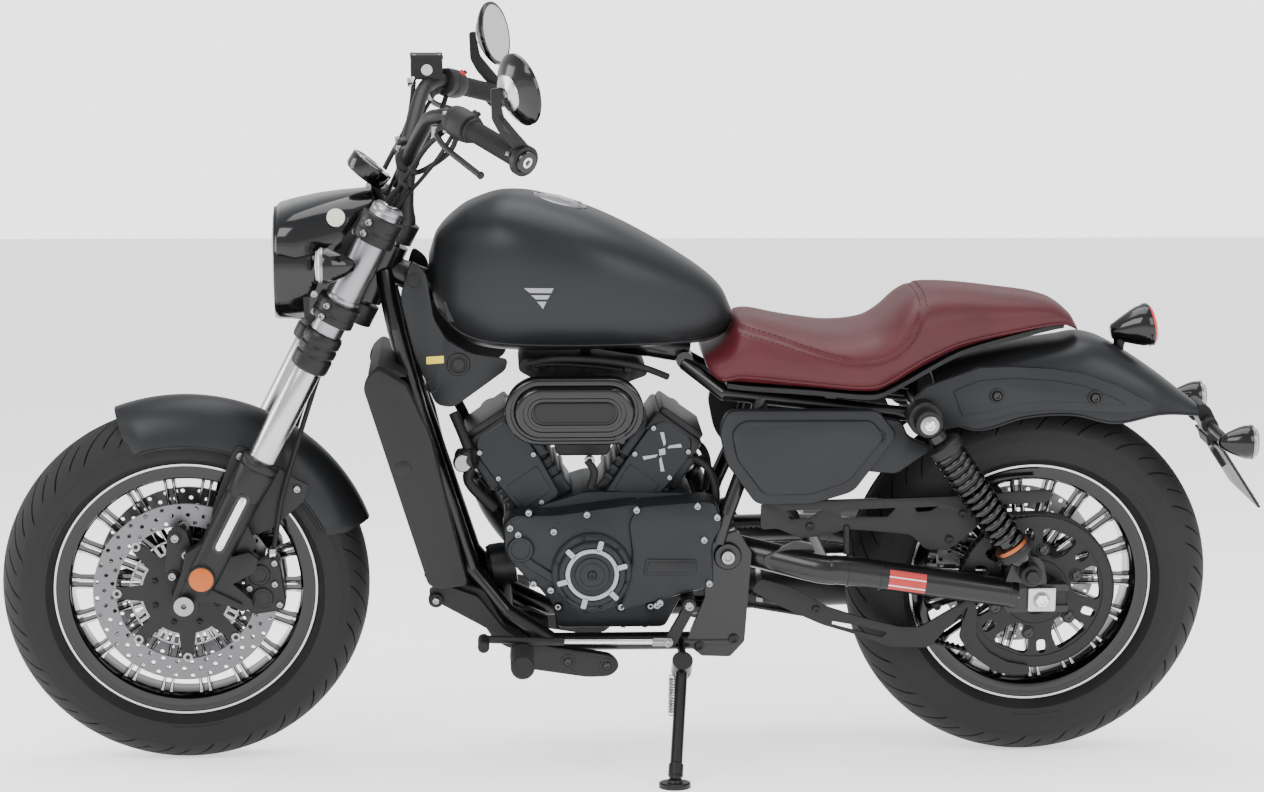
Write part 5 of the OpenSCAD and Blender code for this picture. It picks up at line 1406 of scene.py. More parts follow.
def shock_absorbers():
    """The rear shock absorbers: progressive coil springs over dampers between rubber-bushed eyes."""
    shape = Shape("rear_shocks")
    for side in SIDES:
        low, high = (Vector((x, side * 174, z)) for x, z in (SHOCK_LOW, SHOCK_TOP))
        place, length = toward(low, high)
        shape.turned([(22, 9), (30, 17), (36, 20), (52, 20), (60, 19.5), (length * 0.55, 19.5), (length * 0.55, 9),
                      (length - 70, 9), (length - 60, 16), (length - 22, 16), (length - 16, 9)], place, GLOSS, 40)
        shape.turned([(44, 22), (44, 31), (46, 32), (56, 32), (58, 31), (58, 22)], place, SATIN_BLACK, 48)
        shape.turned([(59, 24), (59, 30.5), (66, 30.5), (66, 24)], place, COPPER, 48)
        shape.turned([(length - 60, 22), (length - 60, 31), (length - 58, 32), (length - 44, 32), (length - 40, 26),
                      (length - 40, 20)], place, SATIN_BLACK, 48)
        shape.turned([(length * 0.60, 20), (length * 0.60, 24), (length - 62, 24), (length - 62, 20)], place,
                     SATIN_BLACK, 40)
        coil = []
        turns, wire, start, end = 13, 5.0, 70, length - 64
        for k in range(turns * 20 + 1):
            t = k / (turns * 20)
            a = 2 * pi * turns * t
            height = start + (end - start) * (t ** 0.92)
            coil.append(place @ Vector((24.6 * cos(a), 24.6 * sin(a), height)))
        shape.tube(coil, wire, GLOSS, 12, 1)
        for at, r in ((low, 19), (high, 23)):
            eye = outward(at.x, at.z, side)
            shape.turned([(159, r - 2), (161, r), (186, r), (188, r - 2), (188, r * 0.62), (186, r * 0.6)], eye,
                         SATIN_BLACK, 40)
            shape.turned([(158.6, r * 0.6), (189, r * 0.6), (189, 6)], eye, RUBBER, 32)
        big = outward(high.x, high.z, side)
        shape.turned([(148.4, 11), (186, 11), (187, 16), (191, 16), (192, 14), (192, 0.5)], big, STEEL, 40)
        shape.turned([(190, 9.5), (195, 9.5), (196, 8), (196, 5), (193, 4)], big, CHROME, 6)
        small = outward(low.x, low.z, side)
        shape.turned([(150, 7), (192, 7), (192, 0.5)], small, STEEL, 24)
        shape.turned([(189, 12), (196, 12), (197, 11), (197, 5)], small, SATIN_BLACK, 6)
    shape.made("chassis", slot="shock_black", smooth=40, replaces=("shock_absorbers",))


def belt_run(count):
    """Evenly spaced points and directions round the belt's loop."""
    front, rear = Vector((890, 395)), Vector((WHEELBASE, REAR_R))
    r0, r1 = 42.6, 134.6
    between = rear - front
    tilt = atan2(between.y, between.x)
    dip = acos((r0 - r1) / between.length)
    a_top, a_low = tilt + dip, tilt - dip
    straight = sqrt(between.length ** 2 - (r1 - r0) ** 2)
    lengths = (straight, r1 * (2 * pi - 2 * (pi - dip)), straight, r0 * (2 * pi - 2 * dip))
    total = sum(lengths)
    found = []
    for k in range(count):
        s = total * k / count
        if s < lengths[0]:
            p = front + r0 * Vector((cos(a_top), sin(a_top)))
            q = rear + r1 * Vector((cos(a_top), sin(a_top)))
            found.append((p + (q - p) * (s / lengths[0]), a_top))
            continue
        s -= lengths[0]
        if s < lengths[1]:
            a = a_top - s / r1
            found.append((rear + r1 * Vector((cos(a), sin(a))), a))
            continue
        s -= lengths[1]
        if s < lengths[2]:
            p = rear + r1 * Vector((cos(a_low), sin(a_low)))
            q = front + r0 * Vector((cos(a_low), sin(a_low)))
            found.append((p + (q - p) * (s / lengths[2]), a_low))
            continue
        s -= lengths[2]
        a = a_low - s / r0
        found.append((front + r0 * Vector((cos(a), sin(a))), a))
    return found


def drive_belt():
    """The toothed drive belt round both pulleys."""
    shape = Shape("toothed_belt")
    rows = []
    for k, (p, a) in enumerate(belt_run(1080)):
        out = Vector((cos(a), sin(a)))
        low = 0.0 if k % 6 in (0, 1, 2) else 2.4
        inner, outer = p + out * low, p + out * 4.8
        rows.append([Vector((inner.x, -107, inner.y)), Vector((inner.x, -81, inner.y)),
                     Vector((outer.x, -81, outer.y)),
                     Vector((outer.x, -107, outer.y))])
    shape.grid(rows, RUBBER, wrap=True)
    shape.made("chassis", slot="belt_rubber", smooth=30, replaces=("drive_belt",))


def plate_with_holes(shape, outline, holes, y0, y1, mat):
    """A flat plate, with real windows, cut across the bike."""
    solid = Shape("plate")
    solid.slab(outline, y0, y1, mat)
    plate = solid.made("chassis", Matrix.Identity(4))
    for hole in holes:
        cutter = Shape("cutter")
        cutter.slab(hole, y0 - 5 if y0 < y1 else y0 + 5, y1 + 5 if y0 < y1 else y1 - 5, mat)
        cut_with(plate, cutter, Matrix.Identity(4))
    index = shape._slot(mat)
    start = len(shape.bm.faces)
    shape.bm.from_mesh(plate.data)
    shape.bm.faces.ensure_lookup_table()
    for face in shape.bm.faces[start:]:
        face.material_index = index
    bpy.data.objects.remove(plate, do_unlink=True)


def belt_guards():
    """The slotted plates over and under the belt, with their bolts."""
    shape = Shape("belt_guard_plates")
    upper = [(1000, 488), (1290, 496), (1400, 500), (1446, 506), (1500, 508), (1512, 500), (1500, 486), (1420, 482),
             (1392, 470), (1376, 440), (1330, 402), (1290, 402), (1262, 430), (1180, 438), (1150, 440), (1118, 430),
             (1070, 424), (1030, 442), (1000, 440)]
    windows = [rounded(h, 3, 3) for h in (
        [(1042, 474), (1108, 476), (1086, 460), (1050, 458)], [(1140, 474), (1236, 478), (1222, 462), (1140, 460)],
        [(1268, 478), (1310, 480), (1296, 472), (1272, 470)])]
    plate_with_holes(shape, rounded(upper, 8, 4), windows, -116, -111.5, SATIN_BLACK)
    shape.slab([(1012, 482), (1496, 495), (1494, 491), (1012, 478)], -114, -82, SATIN_BLACK)
    lower = [(986, 330), (1040, 300), (1110, 268), (1180, 246), (1230, 226), (1300, 224), (1334, 262), (1368, 300),
             (1352, 244), (1372, 212), (1420, 178), (1452, 172), (1482, 176), (1478, 190), (1440, 196), (1404, 216),
             (1382, 246), (1384, 292), (1374, 316), (1330, 290), (1284, 262), (1250, 262), (1180, 280), (1120, 300),
             (1060, 334), (1000, 352)]
    window = rounded([(1130, 278), (1226, 252), (1216, 244), (1128, 268)], 3, 3)
    plate_with_holes(shape, rounded(lower, 8, 4), [window], -116, -111.5, SATIN_BLACK)
    shape.slab([(980, 300), (1290, 244), (1292, 248), (982, 304)], -114, -82, SATIN_BLACK)
    shape.bolts(((1086, 446), (1330, 420), (1312, 300), (1352, 466), (1100, 296)), -116, 7, SATIN_BLACK, 6)
    shape.rod((1150, -114, 446), (1150, -126, 398), 6, SATIN_BLACK, 16)
    shape.made("chassis", slot="black_plastic", smooth=32, bevel=0.8, replaces=("belt_guards",))


def rear_pulley():
    """The toothed belt pulley with its windows and bolts, and the drilled disc on the far side."""
    shape = Shape("rear_pulley_web")
    path = [(WHEELBASE + 133 * cos(2 * pi * k / 96), REAR_R + 133 * sin(2 * pi * k / 96)) for k in range(96)]
    holes = []
    for k in range(6):
        mid = radians(60 * k + 8)
        window = [(64, -0.10), (80, -0.27), (108, -0.30), (116, -0.24), (116, 0.24), (108, 0.30), (80, 0.27),
                  (64, 0.10)]
        holes.append(rounded([(WHEELBASE + r * cos(mid + a), REAR_R + r * sin(mid + a)) for r, a in window], 8, 3))
        mid += radians(30)
        window = [(90, -0.06), (96, -0.09), (112, -0.07), (116, 0), (112, 0.07), (96, 0.09), (90, 0.06)]
        holes.append(rounded([(WHEELBASE + r * cos(mid + a), REAR_R + r * sin(mid + a)) for r, a in window], 4, 2))
    plate_with_holes(shape, path, holes, -107, -96, SATIN_BLACK)
    shape.bm.transform(Matrix.Translation((-WHEELBASE, 0, -REAR_R)))
    teeth = []
    for k in range(140):
        a = 2 * pi * k / 140
        r = 133.8 if k % 2 else 131.4
        teeth.append([Vector((rr * cos(a), y, rr * sin(a))) for rr, y in ((119, -108.8), (r, -108.8), (r, -79),
            (119, -79),
                                                                          (119, -96))])
    shape.grid(teeth, SATIN_BLACK, wrap=True)
    for y in (-109, -78.5):
        shape.ring(119, 136, y, y + 1.8, SATIN_BLACK, 96)
    hub = [(20, -98), (58, -98), (62, -95), (62, -72.4), (20, -72.4)]
    shape.grid(spin(hub, 64), SATIN_BLACK, wrap=True)
    raised = [(40, -112), (56, -112), (58, -110), (58, -100), (40, -100)]
    shape.grid(spin(raised, 64), SATIN_BLACK, wrap=True)
    for k in range(6):
        a = radians(60 * k + 22)
        at = polar(76, a, -106)
        shape.rod(at, at + Vector((0, -3, 0)), 12, SATIN_BLACK, 24, 1)
        shape.bolt(at + Vector((0, -2.5, 0)), (0, -1, 0), 8, GLOSS, 4)
    drilled_ring(shape, 72.4, 77.2, 104, 146, STEEL, 54)
    shape.ring(20, 60, 72.4, 77.2, SATIN_BLACK, 64)
    for k in range(6):
        a = radians(60 * k)
        arm = [(56, -0.22), (106, -0.10), (106, 0.10), (56, 0.22)]
        shape.grid([[polar(r, a + t, y) for r, t in arm] for y in (73, 76.6)], SATIN_BLACK)
        shape.bolt(polar(52, a, 77), (0, 1, 0), 7, STEEL, 5)
    shape.made("rear_wheel_body", REAR_HUB, "disc_steel", smooth=32, replaces=("rear_pulley",))


def rear_lights():
    """The bullet tail light on its stalk and the rear turn signals on their cross bar."""
    shape = Shape("rear_lamps")
    tilt = Vector((cos(radians(12)), 0, sin(radians(12))))
    base = Vector((1624, 0, 764))
    place, _ = toward(base, base + tilt)
    shape.turned([(0, 10), (3, 14), (20, 22), (40, 31), (52, 35.5), (62, 37), (66, 37)], place, GLOSS, 64)
    shape.turned([(62, 36), (62, 38.6), (70, 38.6), (72, 37), (72, 35)], place, GLOSS, 64)
    shape.turned([(66, 36.4), (73, 36.2), (77, 32), (79.4, 20), (80, 0.5)], place, RED_LENS, 64)
    for k in range(4):
        r = 9 + 7 * k
        shape.turned([(78 - k * 0.6, r - 1.2), (80.4 - k * 0.9, r), (78 - k * 0.6, r + 1.2)], place, RED_LENS, 48)
    shape.rod((1640, 0, 742.4), (1640, 0, 770), 10, SATIN_BLACK, 24, 1)
    shape.rod((1634, 0, 744), (1646, 0, 744), 16, RUBBER, 24, 3)
    for side in SIDES:
        bullet(shape, (1840, side * 179, 607), (1, 0, 0), 29, 62, FROSTED)
        shape.pin(1796, 607, side * 168, side * 34.5, 8, SATIN_BLACK, 24)
        shape.pin(1796, 607, side * 60, side * 40, 14, RUBBER, 24, 3)
    shape.made("chassis", slot="lamp_black", smooth=45, replaces=("rear_lights",))


def plate_holder():
    """The bracket under the tail with its blank plate and plate lamp."""
    shape = Shape("plate_bracket")
    arm = rounded([(1779, 640), (1779, 618), (1796, 590), (1806, 566), (1820, 566), (1818, 600), (1800, 634),
                   (1790, 642)], 4)
    shape.slab(arm, -34, 34, SATIN_BLACK)
    tilt = tilted((1806, 0, 574), -34)
    shape.slab(rounded([(0.2, -128), (4.8, -128), (4.8, -2), (0.2, -2)], 1), -97, 97, SATIN_BLACK, tilt)
    shape.slab([(4.9, -124), (6.2, -124), (6.2, -8), (4.9, -8)], -92, 92, PLATE, tilt)
    for y in (-70, 70):
        for z in (-110, -24):
            shape.bolt(tilt @ Vector((5.6, y, z)), tilt.to_3x3() @ Vector((1, 0, 0)), 5, STEEL, 3)
    shape.slab(rounded([(-10, -6), (12, -6), (14, 6), (-4, 12)], 3), -30, 30, PLASTIC, tilt)
    shape.slab([(11, -6.2), (6.6, -6.2), (6.6, -9), (11, -9)], -24, 24, FROSTED, tilt)
    shape.slab([(-8, -60), (0.4, -60), (0.4, -20), (-8, -26)], -8, 8, SATIN_BLACK, tilt)
    shape.made("chassis", slot="black_plastic", smooth=35, replaces=("plate_holder",))


# ---- Controls, mirrors and small parts -----------------------------------------------------------

def hand_controls():
    """Switch blocks, levers on their perches, and the front brake's fluid box."""
    shape = Shape("handlebar_controls")
    for side in SIDES:
        start = sided(BAR_BEND + GRIP_DIR * 12, side)
        end = sided(GRIP_IN - GRIP_DIR * 0.4, side)
        place, length = toward(start, end)
        shape.turned([(0, 18), (2, 24), (14, 26), (16, 25), (18, 26), (length - 12, 26), (length - 8, 25),
                      (length - 2, 24),
                      (length, 20)], place, PLASTIC, 40)
        way = sided(GRIP_DIR, side)
        middle = (start + end) / 2
        shape.rod(middle + Vector((16, 0, 14)), middle + Vector((24, side * 2, 20)), 6,
                  WARM_RED if side > 0 else SATIN_BLACK, 20, 1)
        shape.rod(middle + Vector((20, 0, -4)), middle + Vector((28, 0, -5)), 5, STEEL, 16, 1)
        shape.rod(middle + way * 12 + Vector((14, 0, 16)), middle + way * 12 + Vector((22, 0, 23)), 4, PLASTIC, 16, 1)
        perch = sided((446, -224, 1158), side)
        shape.rod(sided((462, -236, 1164), side), perch, 10, SATIN_BLACK, 20, 1)
        shape.rod(perch, sided((436, -216, 1150), side), 9, SATIN_BLACK, 20, 1)
        shape.rod(sided((436, -218, 1141), side), sided((436, -218, 1160), side), 8, STEEL, 20, 1)
        shape.tube([sided(p, side) for p in ((436, -216, 1150), (440, -238, 1140), (452, -262, 1128),
                                             (478, -312, 1113),
                                             (500, -356, 1101))], 5.2, SATIN_BLACK, 16, 6)
        shape.rod(sided((500, -354, 1101.5), side), sided((503, -360, 1100), side), 6.5, SATIN_BLACK, 20, 2)
        for k in range(3):
            at = BAR_BEND.lerp(GRIP_IN, 0.5)
            spot = sided(at, side) + Vector((-20, 0, 16 - 15 * k))
            shape.bolt(spot, (-1, 0, 0.1), 3.4, STEEL, 8)
    cover(shape, [(405, 1181), (461, 1181), (461, 1216), (405, 1216)], 197, 239, SATIN_BLACK, 4, 3)
    cover(shape, [(404, 1216), (462, 1216), (462, 1224), (404, 1224)], 196, 240, PLASTIC, 2, 2)
    for x, y in ((411, 203), (455, 203), (411, 233), (455, 233)):
        shape.bolt((x, y, 1223), (0, 0, 1), 3.6, STEEL, 2)
    shape.pin(433, 1198, 197, 194.5, 10, FROSTED, 24, 0.6)
    shape.rod((430, 216, 1184), (452, 230, 1172), 9, SATIN_BLACK, 20)
    shape.rod((410, 202, 1186), (404, 202, 1166), 6, CHROME, 20, 1)
    shape.rod((407, 202, 1176), (398, 202, 1176), 8, CHROME, 6, 1)
    shape.made("steering", STEERED, "black_plastic", smooth=38, replaces=("hand_controls",))


def wiring():
    """Cables and loom that drape from the bar controls down to the steering head."""
    shape = Shape("control_cables")
    looms = (
        [(446, -226, 1150), (420, -190, 1120), (396, -120, 1070), (380, -70, 1036), (360, -60, 1010),
         (352, -54, 960)],
        [(462, -230, 1146), (440, -196, 1104), (412, -120, 1054), (392, -78, 1024), (372, -66, 996)],
        [(470, -240, 1150), (458, -210, 1116), (424, -140, 1078), (400, -90, 1060), (384, -20, 1046),
         (372, 30, 1020)],
        [(446, 226, 1150), (420, 186, 1112), (392, 110, 1062), (372, 60, 1030), (358, 48, 1000)],
        [(470, 240, 1150), (452, 200, 1110), (420, 130, 1064), (396, 70, 1036), (380, 0, 1028)])
    for k, path in enumerate(looms):
        shape.tube(path, 3.6 if k % 2 else 4.6, RUBBER, 12, 6)
    for at in ((400, -124, 1072), (388, -84, 1040), (404, 140, 1078)):
        shape.rod(Vector(at) + Vector((-3, 0, -3)), Vector(at) + Vector((3, 0, 3)), 10, RUBBER, 16, 1)
    shape.made("steering", STEERED, "hose_rubber", smooth=60)


def mirrors():
    """Round mirrors above the bar ends: glass, domed back, bright hub and cranked arm."""
    shape = Shape("bar_end_mirrors")
    for side in SIDES:
        face = (Matrix.Translation((558, side * 386, 1240)) @ Matrix.Rotation(radians(-27 * side), 4, "Z")
                @ Matrix.Rotation(radians(78), 4, "Y"))
        glass = [(9, 52.5), (8.2, 52), (8.2, 0.5)]
        shape.turned([(-19, 0.5), (-19, 23), (-17, 27), (-12, 38), (-6, 49), (-1, 55), (3, 58.4), (8, 58.4),
                      (9.2, 57), (9.2, 53),
                      (8, 52.6)], face, GLOSS, 72)
        shape.turned(glass, face, MIRROR, 72)
        shape.turned([(-15, 30), (-18.6, 29.6), (-20, 27), (-20, 13), (-21.5, 11), (-21.5, 0.5)], face, MACHINED, 48)
        shape.bolt(face @ Vector((0, 0, -21)), face.to_3x3() @ Vector((0, 0, -1)), 6, STEEL, 4)
        arm = [(561, 1137), (566, 1142), (580, 1148), (556, 1176), (536, 1200), (531, 1226), (546, 1232), (546, 1245),
               (516, 1243), (518, 1194), (530, 1172)]
        y = side * 386
        cover(shape, arm, y - side * 5, y + side * 5, SATIN_BLACK, 5, 1.5)
        cover(shape, [(537, 1178), (548, 1170), (538, 1194), (528, 1204)], y - side * 4, y + side * 6.4, GLOSS, 2,
              0.5)
        shape.rod((540, y, 1238), (549, y, 1240), 7, CHROME, 20, 1)
        along = sided(GRIP_OUT, side) + sided(GRIP_DIR, side) * ((386 - 372) / 0.92)
        place, _ = toward(along - sided(GRIP_DIR, side) * 6, along + sided(GRIP_DIR, side) * 6)
        shape.turned([(0, 19.6), (0, 24), (1.5, 25.5), (10.5, 25.5), (12, 24), (12, 19.6)], place, SATIN_BLACK, 48)
        shape.bolt(along + Vector((-24, 0, 10)), (-0.9, 0, 0.4), 3.4, STEEL, 5)
    shape.made("steering", STEERED, "gloss_black", smooth=40, replaces=("mirrors",))


def instrument():
    """The small round instrument on its post."""
    shape = Shape("round_instrument")
    face = tilted((316, 0, 1040), 38)
    shape.turned([(0, 26), (2, 34), (8, 38), (26, 39.6), (29, 39.6), (30, 38), (30, 36), (28, 35), (28, 0.5)], face,
                 GLOSS, 64)
    shape.turned([(28.2, 35), (29, 34), (29.4, 0.5)], face, SATIN_BLACK, 64)
    shape.turned([(29.2, 37), (30.4, 36.4), (29.2, 35.4)], face, CHROME, 64)
    shape.rod((328, 0, 1050), (351, 0, 988), 8, SATIN_BLACK, 24)
    shape.bolts([(326, 1030)], -26, 5, STEEL, 5)
    shape.made("steering", STEERED, "black_plastic", smooth=40, replaces=("instrument",))


def calipers():
    """The front brake calipers with their bolts, pins and bleed nipples."""
    shape = Shape("front_brake_calipers")
    place = Matrix.Rotation(radians(-6), 4, "Y") @ Matrix.Translation((106, 0, -44))
    for side in SIDES:
        for y0, y1 in ((59, 89), (35, 50)):
            outline = rounded([(0, 2), (14, -1), (60, 0), (66, 14), (64, 86), (52, 100), (8, 98), (-2, 70)], 9)
            rows = []
            for y, k in ((y0, 1), (y1 - 3, 1), (y1, 0.93)) if y1 == 89 else ((y1, 1), (y0 + 3, 1), (y0, 0.95)):
                rows.append([place @ Vector((33 + (x - 33) * k, side * y, 50 + (z - 50) * k)) for x, z in outline])
            shape.grid(rows, SATIN_BLACK)
        shape.slab([(58, 4), (66, 14), (64, 86), (56, 98)], side * 46, side * 64, SATIN_BLACK, place)
        for x, z, r in ((26, 28, 19), (26, 70, 19)):
            spot, _ = toward(place @ Vector((x, side * 86, z)), place @ Vector((x, side * 99, z)))
            shape.turned([(0, r), (5, r), (7, r - 2), (7, r - 6), (6, r - 7), (6, 0.5)], spot, SATIN_BLACK, 32)
        for x, z in ((54, 12), (54, 88), (6, 48), (50, 50)):
            shape.bolt(place @ Vector((x, side * 88, z)), (0, side, 0), 6, STEEL, 6)
        shape.rod(place @ Vector((40, side * 76, 98)), place @ Vector((44, side * 76, 112)), 3.4, CHROME, 12, 1)
        hose_end = Vector((154, side * 81, 66))
        shape.rod(hose_end + Vector((0, 0, 8)), hose_end + Vector((0, -side * 0.2, 22)), 6.4, CHROME, 16, 1)
        shape.rod((146, side * 86, 78), (158, side * 86, 78), 8, CHROME, 6, 1)
    shape.made("steering", FRONT_HUB, "caliper_black", smooth=35, replaces=("front_calipers",))


def rear_caliper():
    """The rear brake caliper on its bracket."""
    shape = Shape("rear_brake_caliper")
    place = Matrix.Rotation(radians(60), 4, "Y")
    for y0, y1 in ((80.5, 109), (52, 66)):
        outline = rounded([(-174, -36), (-150, -40), (-108, -38), (-106, 36), (-150, 40), (-174, 34)], 9)
        rows = [[place @ Vector((x, y, z)) for x, z in outline] for y in (y0, y1)]
        shape.grid(rows, SATIN_BLACK)
    shape.slab([(-175, -36), (-156, -38), (-156, 38), (-175, 36)], 60, 84, SATIN_BLACK, place)
    for x, z in ((-162, -26), (-162, 26), (-120, 0)):
        shape.bolt(place @ Vector((x, 108, z)), (0, 1, 0), 6, STEEL, 6)
    shape.slab([(-120, 90), (-84, 140), (-50, 120), (24, 18), (18, -20), (-18, -20)], 110, 114, SATIN_BLACK)
    shape.made("chassis", REAR_HUB, "caliper_black", smooth=35, replaces=("rear_caliper",))


def foot_controls():
    """Foot pegs on their mounts, the shift lever with its bright rod, and the brake pedal."""
    shape = Shape("foot_pegs_and_levers")
    for side in SIDES:
        shape.rod((586, side * 127, 228), (586, side * 167, 232), 12, SATIN_BLACK, 24, 1)
        place, length = toward((586, side * 161, 231), (586, side * 255, 238))
        profile = [(0, 14), (0, 19), (2, 21), (6, 21)]
        for k in range(9):
            z = 8 + 9 * k
            profile += [(z, 17.5), (z + 1.5, 20.6), (z + 6.5, 20.6), (z + 8, 17.5)]
        profile += [(length - 4, 20.6), (length, 18), (length, 0.5)]
        shape.turned(profile, place, RUBBER, 36)
        mount = [(566, 242), (600, 248), (660, 236), (742, 222), (758, 202), (742, 184), (700, 182), (600, 198),
                 (566, 208)]
        cover(shape, mount, side * 121, side * 139, SATIN_BLACK, 14, 4)
        for x, z in ((666, 212), (734, 204)):
            turned_across(shape, x, z, [(130, 13), (139.6, 13), (140.4, 12), (140.4, 8), (139, 7), (139, 0.5)],
                          SATIN_BLACK, side)
            shape.bolt((x, side * 138.6, z), (0, side, 0), 6.5, GLOSS, 4)
    shape.rod((636, -149, 252), (839, -149, 250), 5, CHROME, 24)
    shape.rod((636, -149, 252), (660, -149, 251.8), 7.6, SATIN_BLACK, 6, 1)
    shape.rod((812, -149, 250.3), (846, -149, 250), 8.2, STEEL, 24, 1)
    shape.pin(839, 250, -158, -140, 8.5, STEEL, 20, 1)
    cover(shape, [(828, 244), (850, 240), (884, 306), (886, 324), (868, 326), (864, 310)], -143, -153, SATIN_BLACK,
          6, 2)
    shape.pin(875, 316, -158, -86, 12, SATIN_BLACK, 28, 1)
    shape.bolts([(875, 316)], -157, 8, STEEL, 7)
    shape.bolts([(839, 250)], -157, 6, STEEL, 5)
    shape.tube([(640, -150, 252), (600, -152, 254), (560, -158, 258), (520, -165, 262)], 7, SATIN_BLACK, 20, 6)
    shape.pin(520, 262, -163, -215, 10, RUBBER, 24, 2)
    shape.tube([(640, 149, 232), (600, 152, 240), (556, 160, 258), (520, 165, 270)], 8, SATIN_BLACK, 20, 6)
    shape.pin(512, 272, 145, 215, 12, RUBBER, 24, 2)
    shape.pin(640, 232, 129, 153, 12, SATIN_BLACK, 24, 1)
    shape.made("chassis", slot="black_plastic", smooth=38, replaces=("foot_controls",))


def side_stand():
    """The side stand: pivot lug, round leg with a bright web, spring and broad foot."""
    shape = Shape("side_stand_leg")
    pivot = STAND_PIVOT
    foot = Vector((*STAND_FOOT, (-STAND_FOOT[1] * sin(LEAN) - LIFT) / cos(LEAN)))
    leg = (foot - pivot).normalized()
    pin = leg.cross(Vector((1, 0, 0))).normalized()
    shape.rod(pivot - pin * 8, pivot + pin * 8, 17.8, FRAME_BLACK, 40, 1)
    shape.tube([pivot + leg * 4, pivot + leg * 60, foot - leg * 60, foot - leg * 12], 10.6, FRAME_BLACK, 24, 4)
    face = leg.cross(pin).normalized()
    out = -face.cross(leg).normalized()
    web = []
    for down, wide, slim in ((26, 5, 3.4), (150, 4, 2.4)):
        a = pivot + leg * down
        web.append([a + out * 9 + face * wide, a + out * 11.4 + face * slim, a + out * 11.4 - face * slim,
                    a + out * 9 - face * wide])
    shape.grid(web, STEEL)
    shape.rod(foot - leg * 44, foot - leg * 20, 13, FRAME_BLACK, 28, 2)
    pad = Matrix.Translation(foot) @ Matrix.Rotation(-LEAN, 4, "X")
    shape.turned([(0, 25), (1, 27), (8, 27), (10, 25), (10, 14), (14, 12), (14, 0.5)], pad, SATIN_BLACK, 40)
    coil = []
    a, b = pivot + leg * 22 + face * 16, pivot + leg * 96 + face * 13
    for k in range(14 * 12 + 1):
        t = k / (14 * 12)
        turn = 2 * pi * 14 * t
        coil.append(a.lerp(b, t) + 5.2 * (cos(turn) * face + sin(turn) * pin))
    shape.tube(coil, 1.3, STEEL, 6, 1)
    shape.made("side_stand_body", slot="frame_black", smooth=40, replaces=("side_stand",))


def exhaust():
    """Two header pipes down the right side into mufflers with bright bands."""
    shape = Shape("exhaust_system")

    def port(lean):
        return (CRANK[0] + lean * 270 * sin(VEE_HALF), CRANK[1] + 270 * cos(VEE_HALF))

    for lean in (-1, 1):
        x, z = port(lean)
        turned_across(shape, x, z, [(86.3, 27), (112, 27), (116, 25), (116, 0.5)], SATIN_BLACK, 1)
        for k in range(3):
            turn = 2 * pi * k / 3 + 0.5
            shape.bolt((x + 21 * cos(turn), 114, z + 21 * sin(turn)), (0, 1, 0), 4, STEEL, 5)
    x, z = port(-1)
    shape.tube([(x, 100, z), (x - 6, 118, z - 8), (518, 142, 566), (522, 160, 500), (534, 174, 420),
                (600, 187, 330), (690, 189, 280),
                (780, 188, 258), (980, 186, 250)], 23.6, SATIN_BLACK, 32, 8)
    x, z = port(1)
    shape.tube([(x, 100, z), (x + 6, 118, z - 8), (872, 142, 566), (886, 160, 510), (902, 174, 458), (936, 192, 396),
                (1000, 206, 352), (1060, 210, 345)], 23.6, SATIN_BLACK, 32, 8)
    for a, b in (((960, 186, 250), (1560, 204, 262)), ((1040, 210, 345), (1380, 214, 352))):
        place, length = toward(a, b)
        shape.turned([(0, 25), (8, 32), (26, 40), (40, 42), (length - 30, 42), (length - 28, 41), (length - 24, 42),
                      (length - 4, 42), (length, 41), (length, 32), (length - 4, 30), (length - 90,
                          30), (length - 90, 0.5)],
                     place, SATIN_BLACK, 64)
        for t in (60, length - 60):
            shape.turned([(t, 42.4), (t + 1, 43.2), (t + 11, 43.2), (t + 12, 42.4)], place, STEEL, 64)
    for x, y, z in ((1100, 190, 253), (1350, 197, 258)):
        shape.rod((x, y - 62, z + 50), (x, y - 20, z + 34), 7, SATIN_BLACK, 16, 1)
    shape.made("chassis", slot="exhaust_black", smooth=40, replaces=("exhaust",))


def frame_fittings():
    """Bolts, plugs and hoses that dress the frame."""
    shape = Shape("frame_fittings")
    for side in SIDES:
        turned_across(shape, *PIVOT, [(118, 24), (125, 24), (127, 22), (127, 18)], FRAME_BLACK, side)
        turned_across(shape, *PIVOT, [(124, 13), (134, 13), (136, 11), (136, 6), (133, 5)], STEEL, side)
        shape.bolts(((956, 244), (896, 232)), side * 119, 9, SATIN_BLACK, 6)
        shape.tube([(470, side * 70, 640), (488, side * 86, 600), (500, side * 92, 560), (496, side * 84, 520),
                    (540, side * 74, 470)], 9, RUBBER, 16, 8)
        shape.tube([(880, side * 60, 560), (912, side * 80, 540), (924, side * 92, 500), (918, side * 90, 460)], 7,
                   RUBBER, 14,
                   8)
    shape.rod((478, -84, 560), (506, -96, 566), 20, SATIN_BLACK, 28, 3)
    shape.rod((484, -98, 560), (486, -112, 560), 16, STEEL, 28, 2)
    shape.tube([(700, -92, 560), (712, -96, 540), (706, -92, 512)], 7, RUBBER, 14, 6)
    shape.bolts([(704, 560)], -90, 9, STEEL, 7)
    shape.made("chassis", slot="frame_black", smooth=45)


# ---- Building ------------------------------------------------------------------------------------

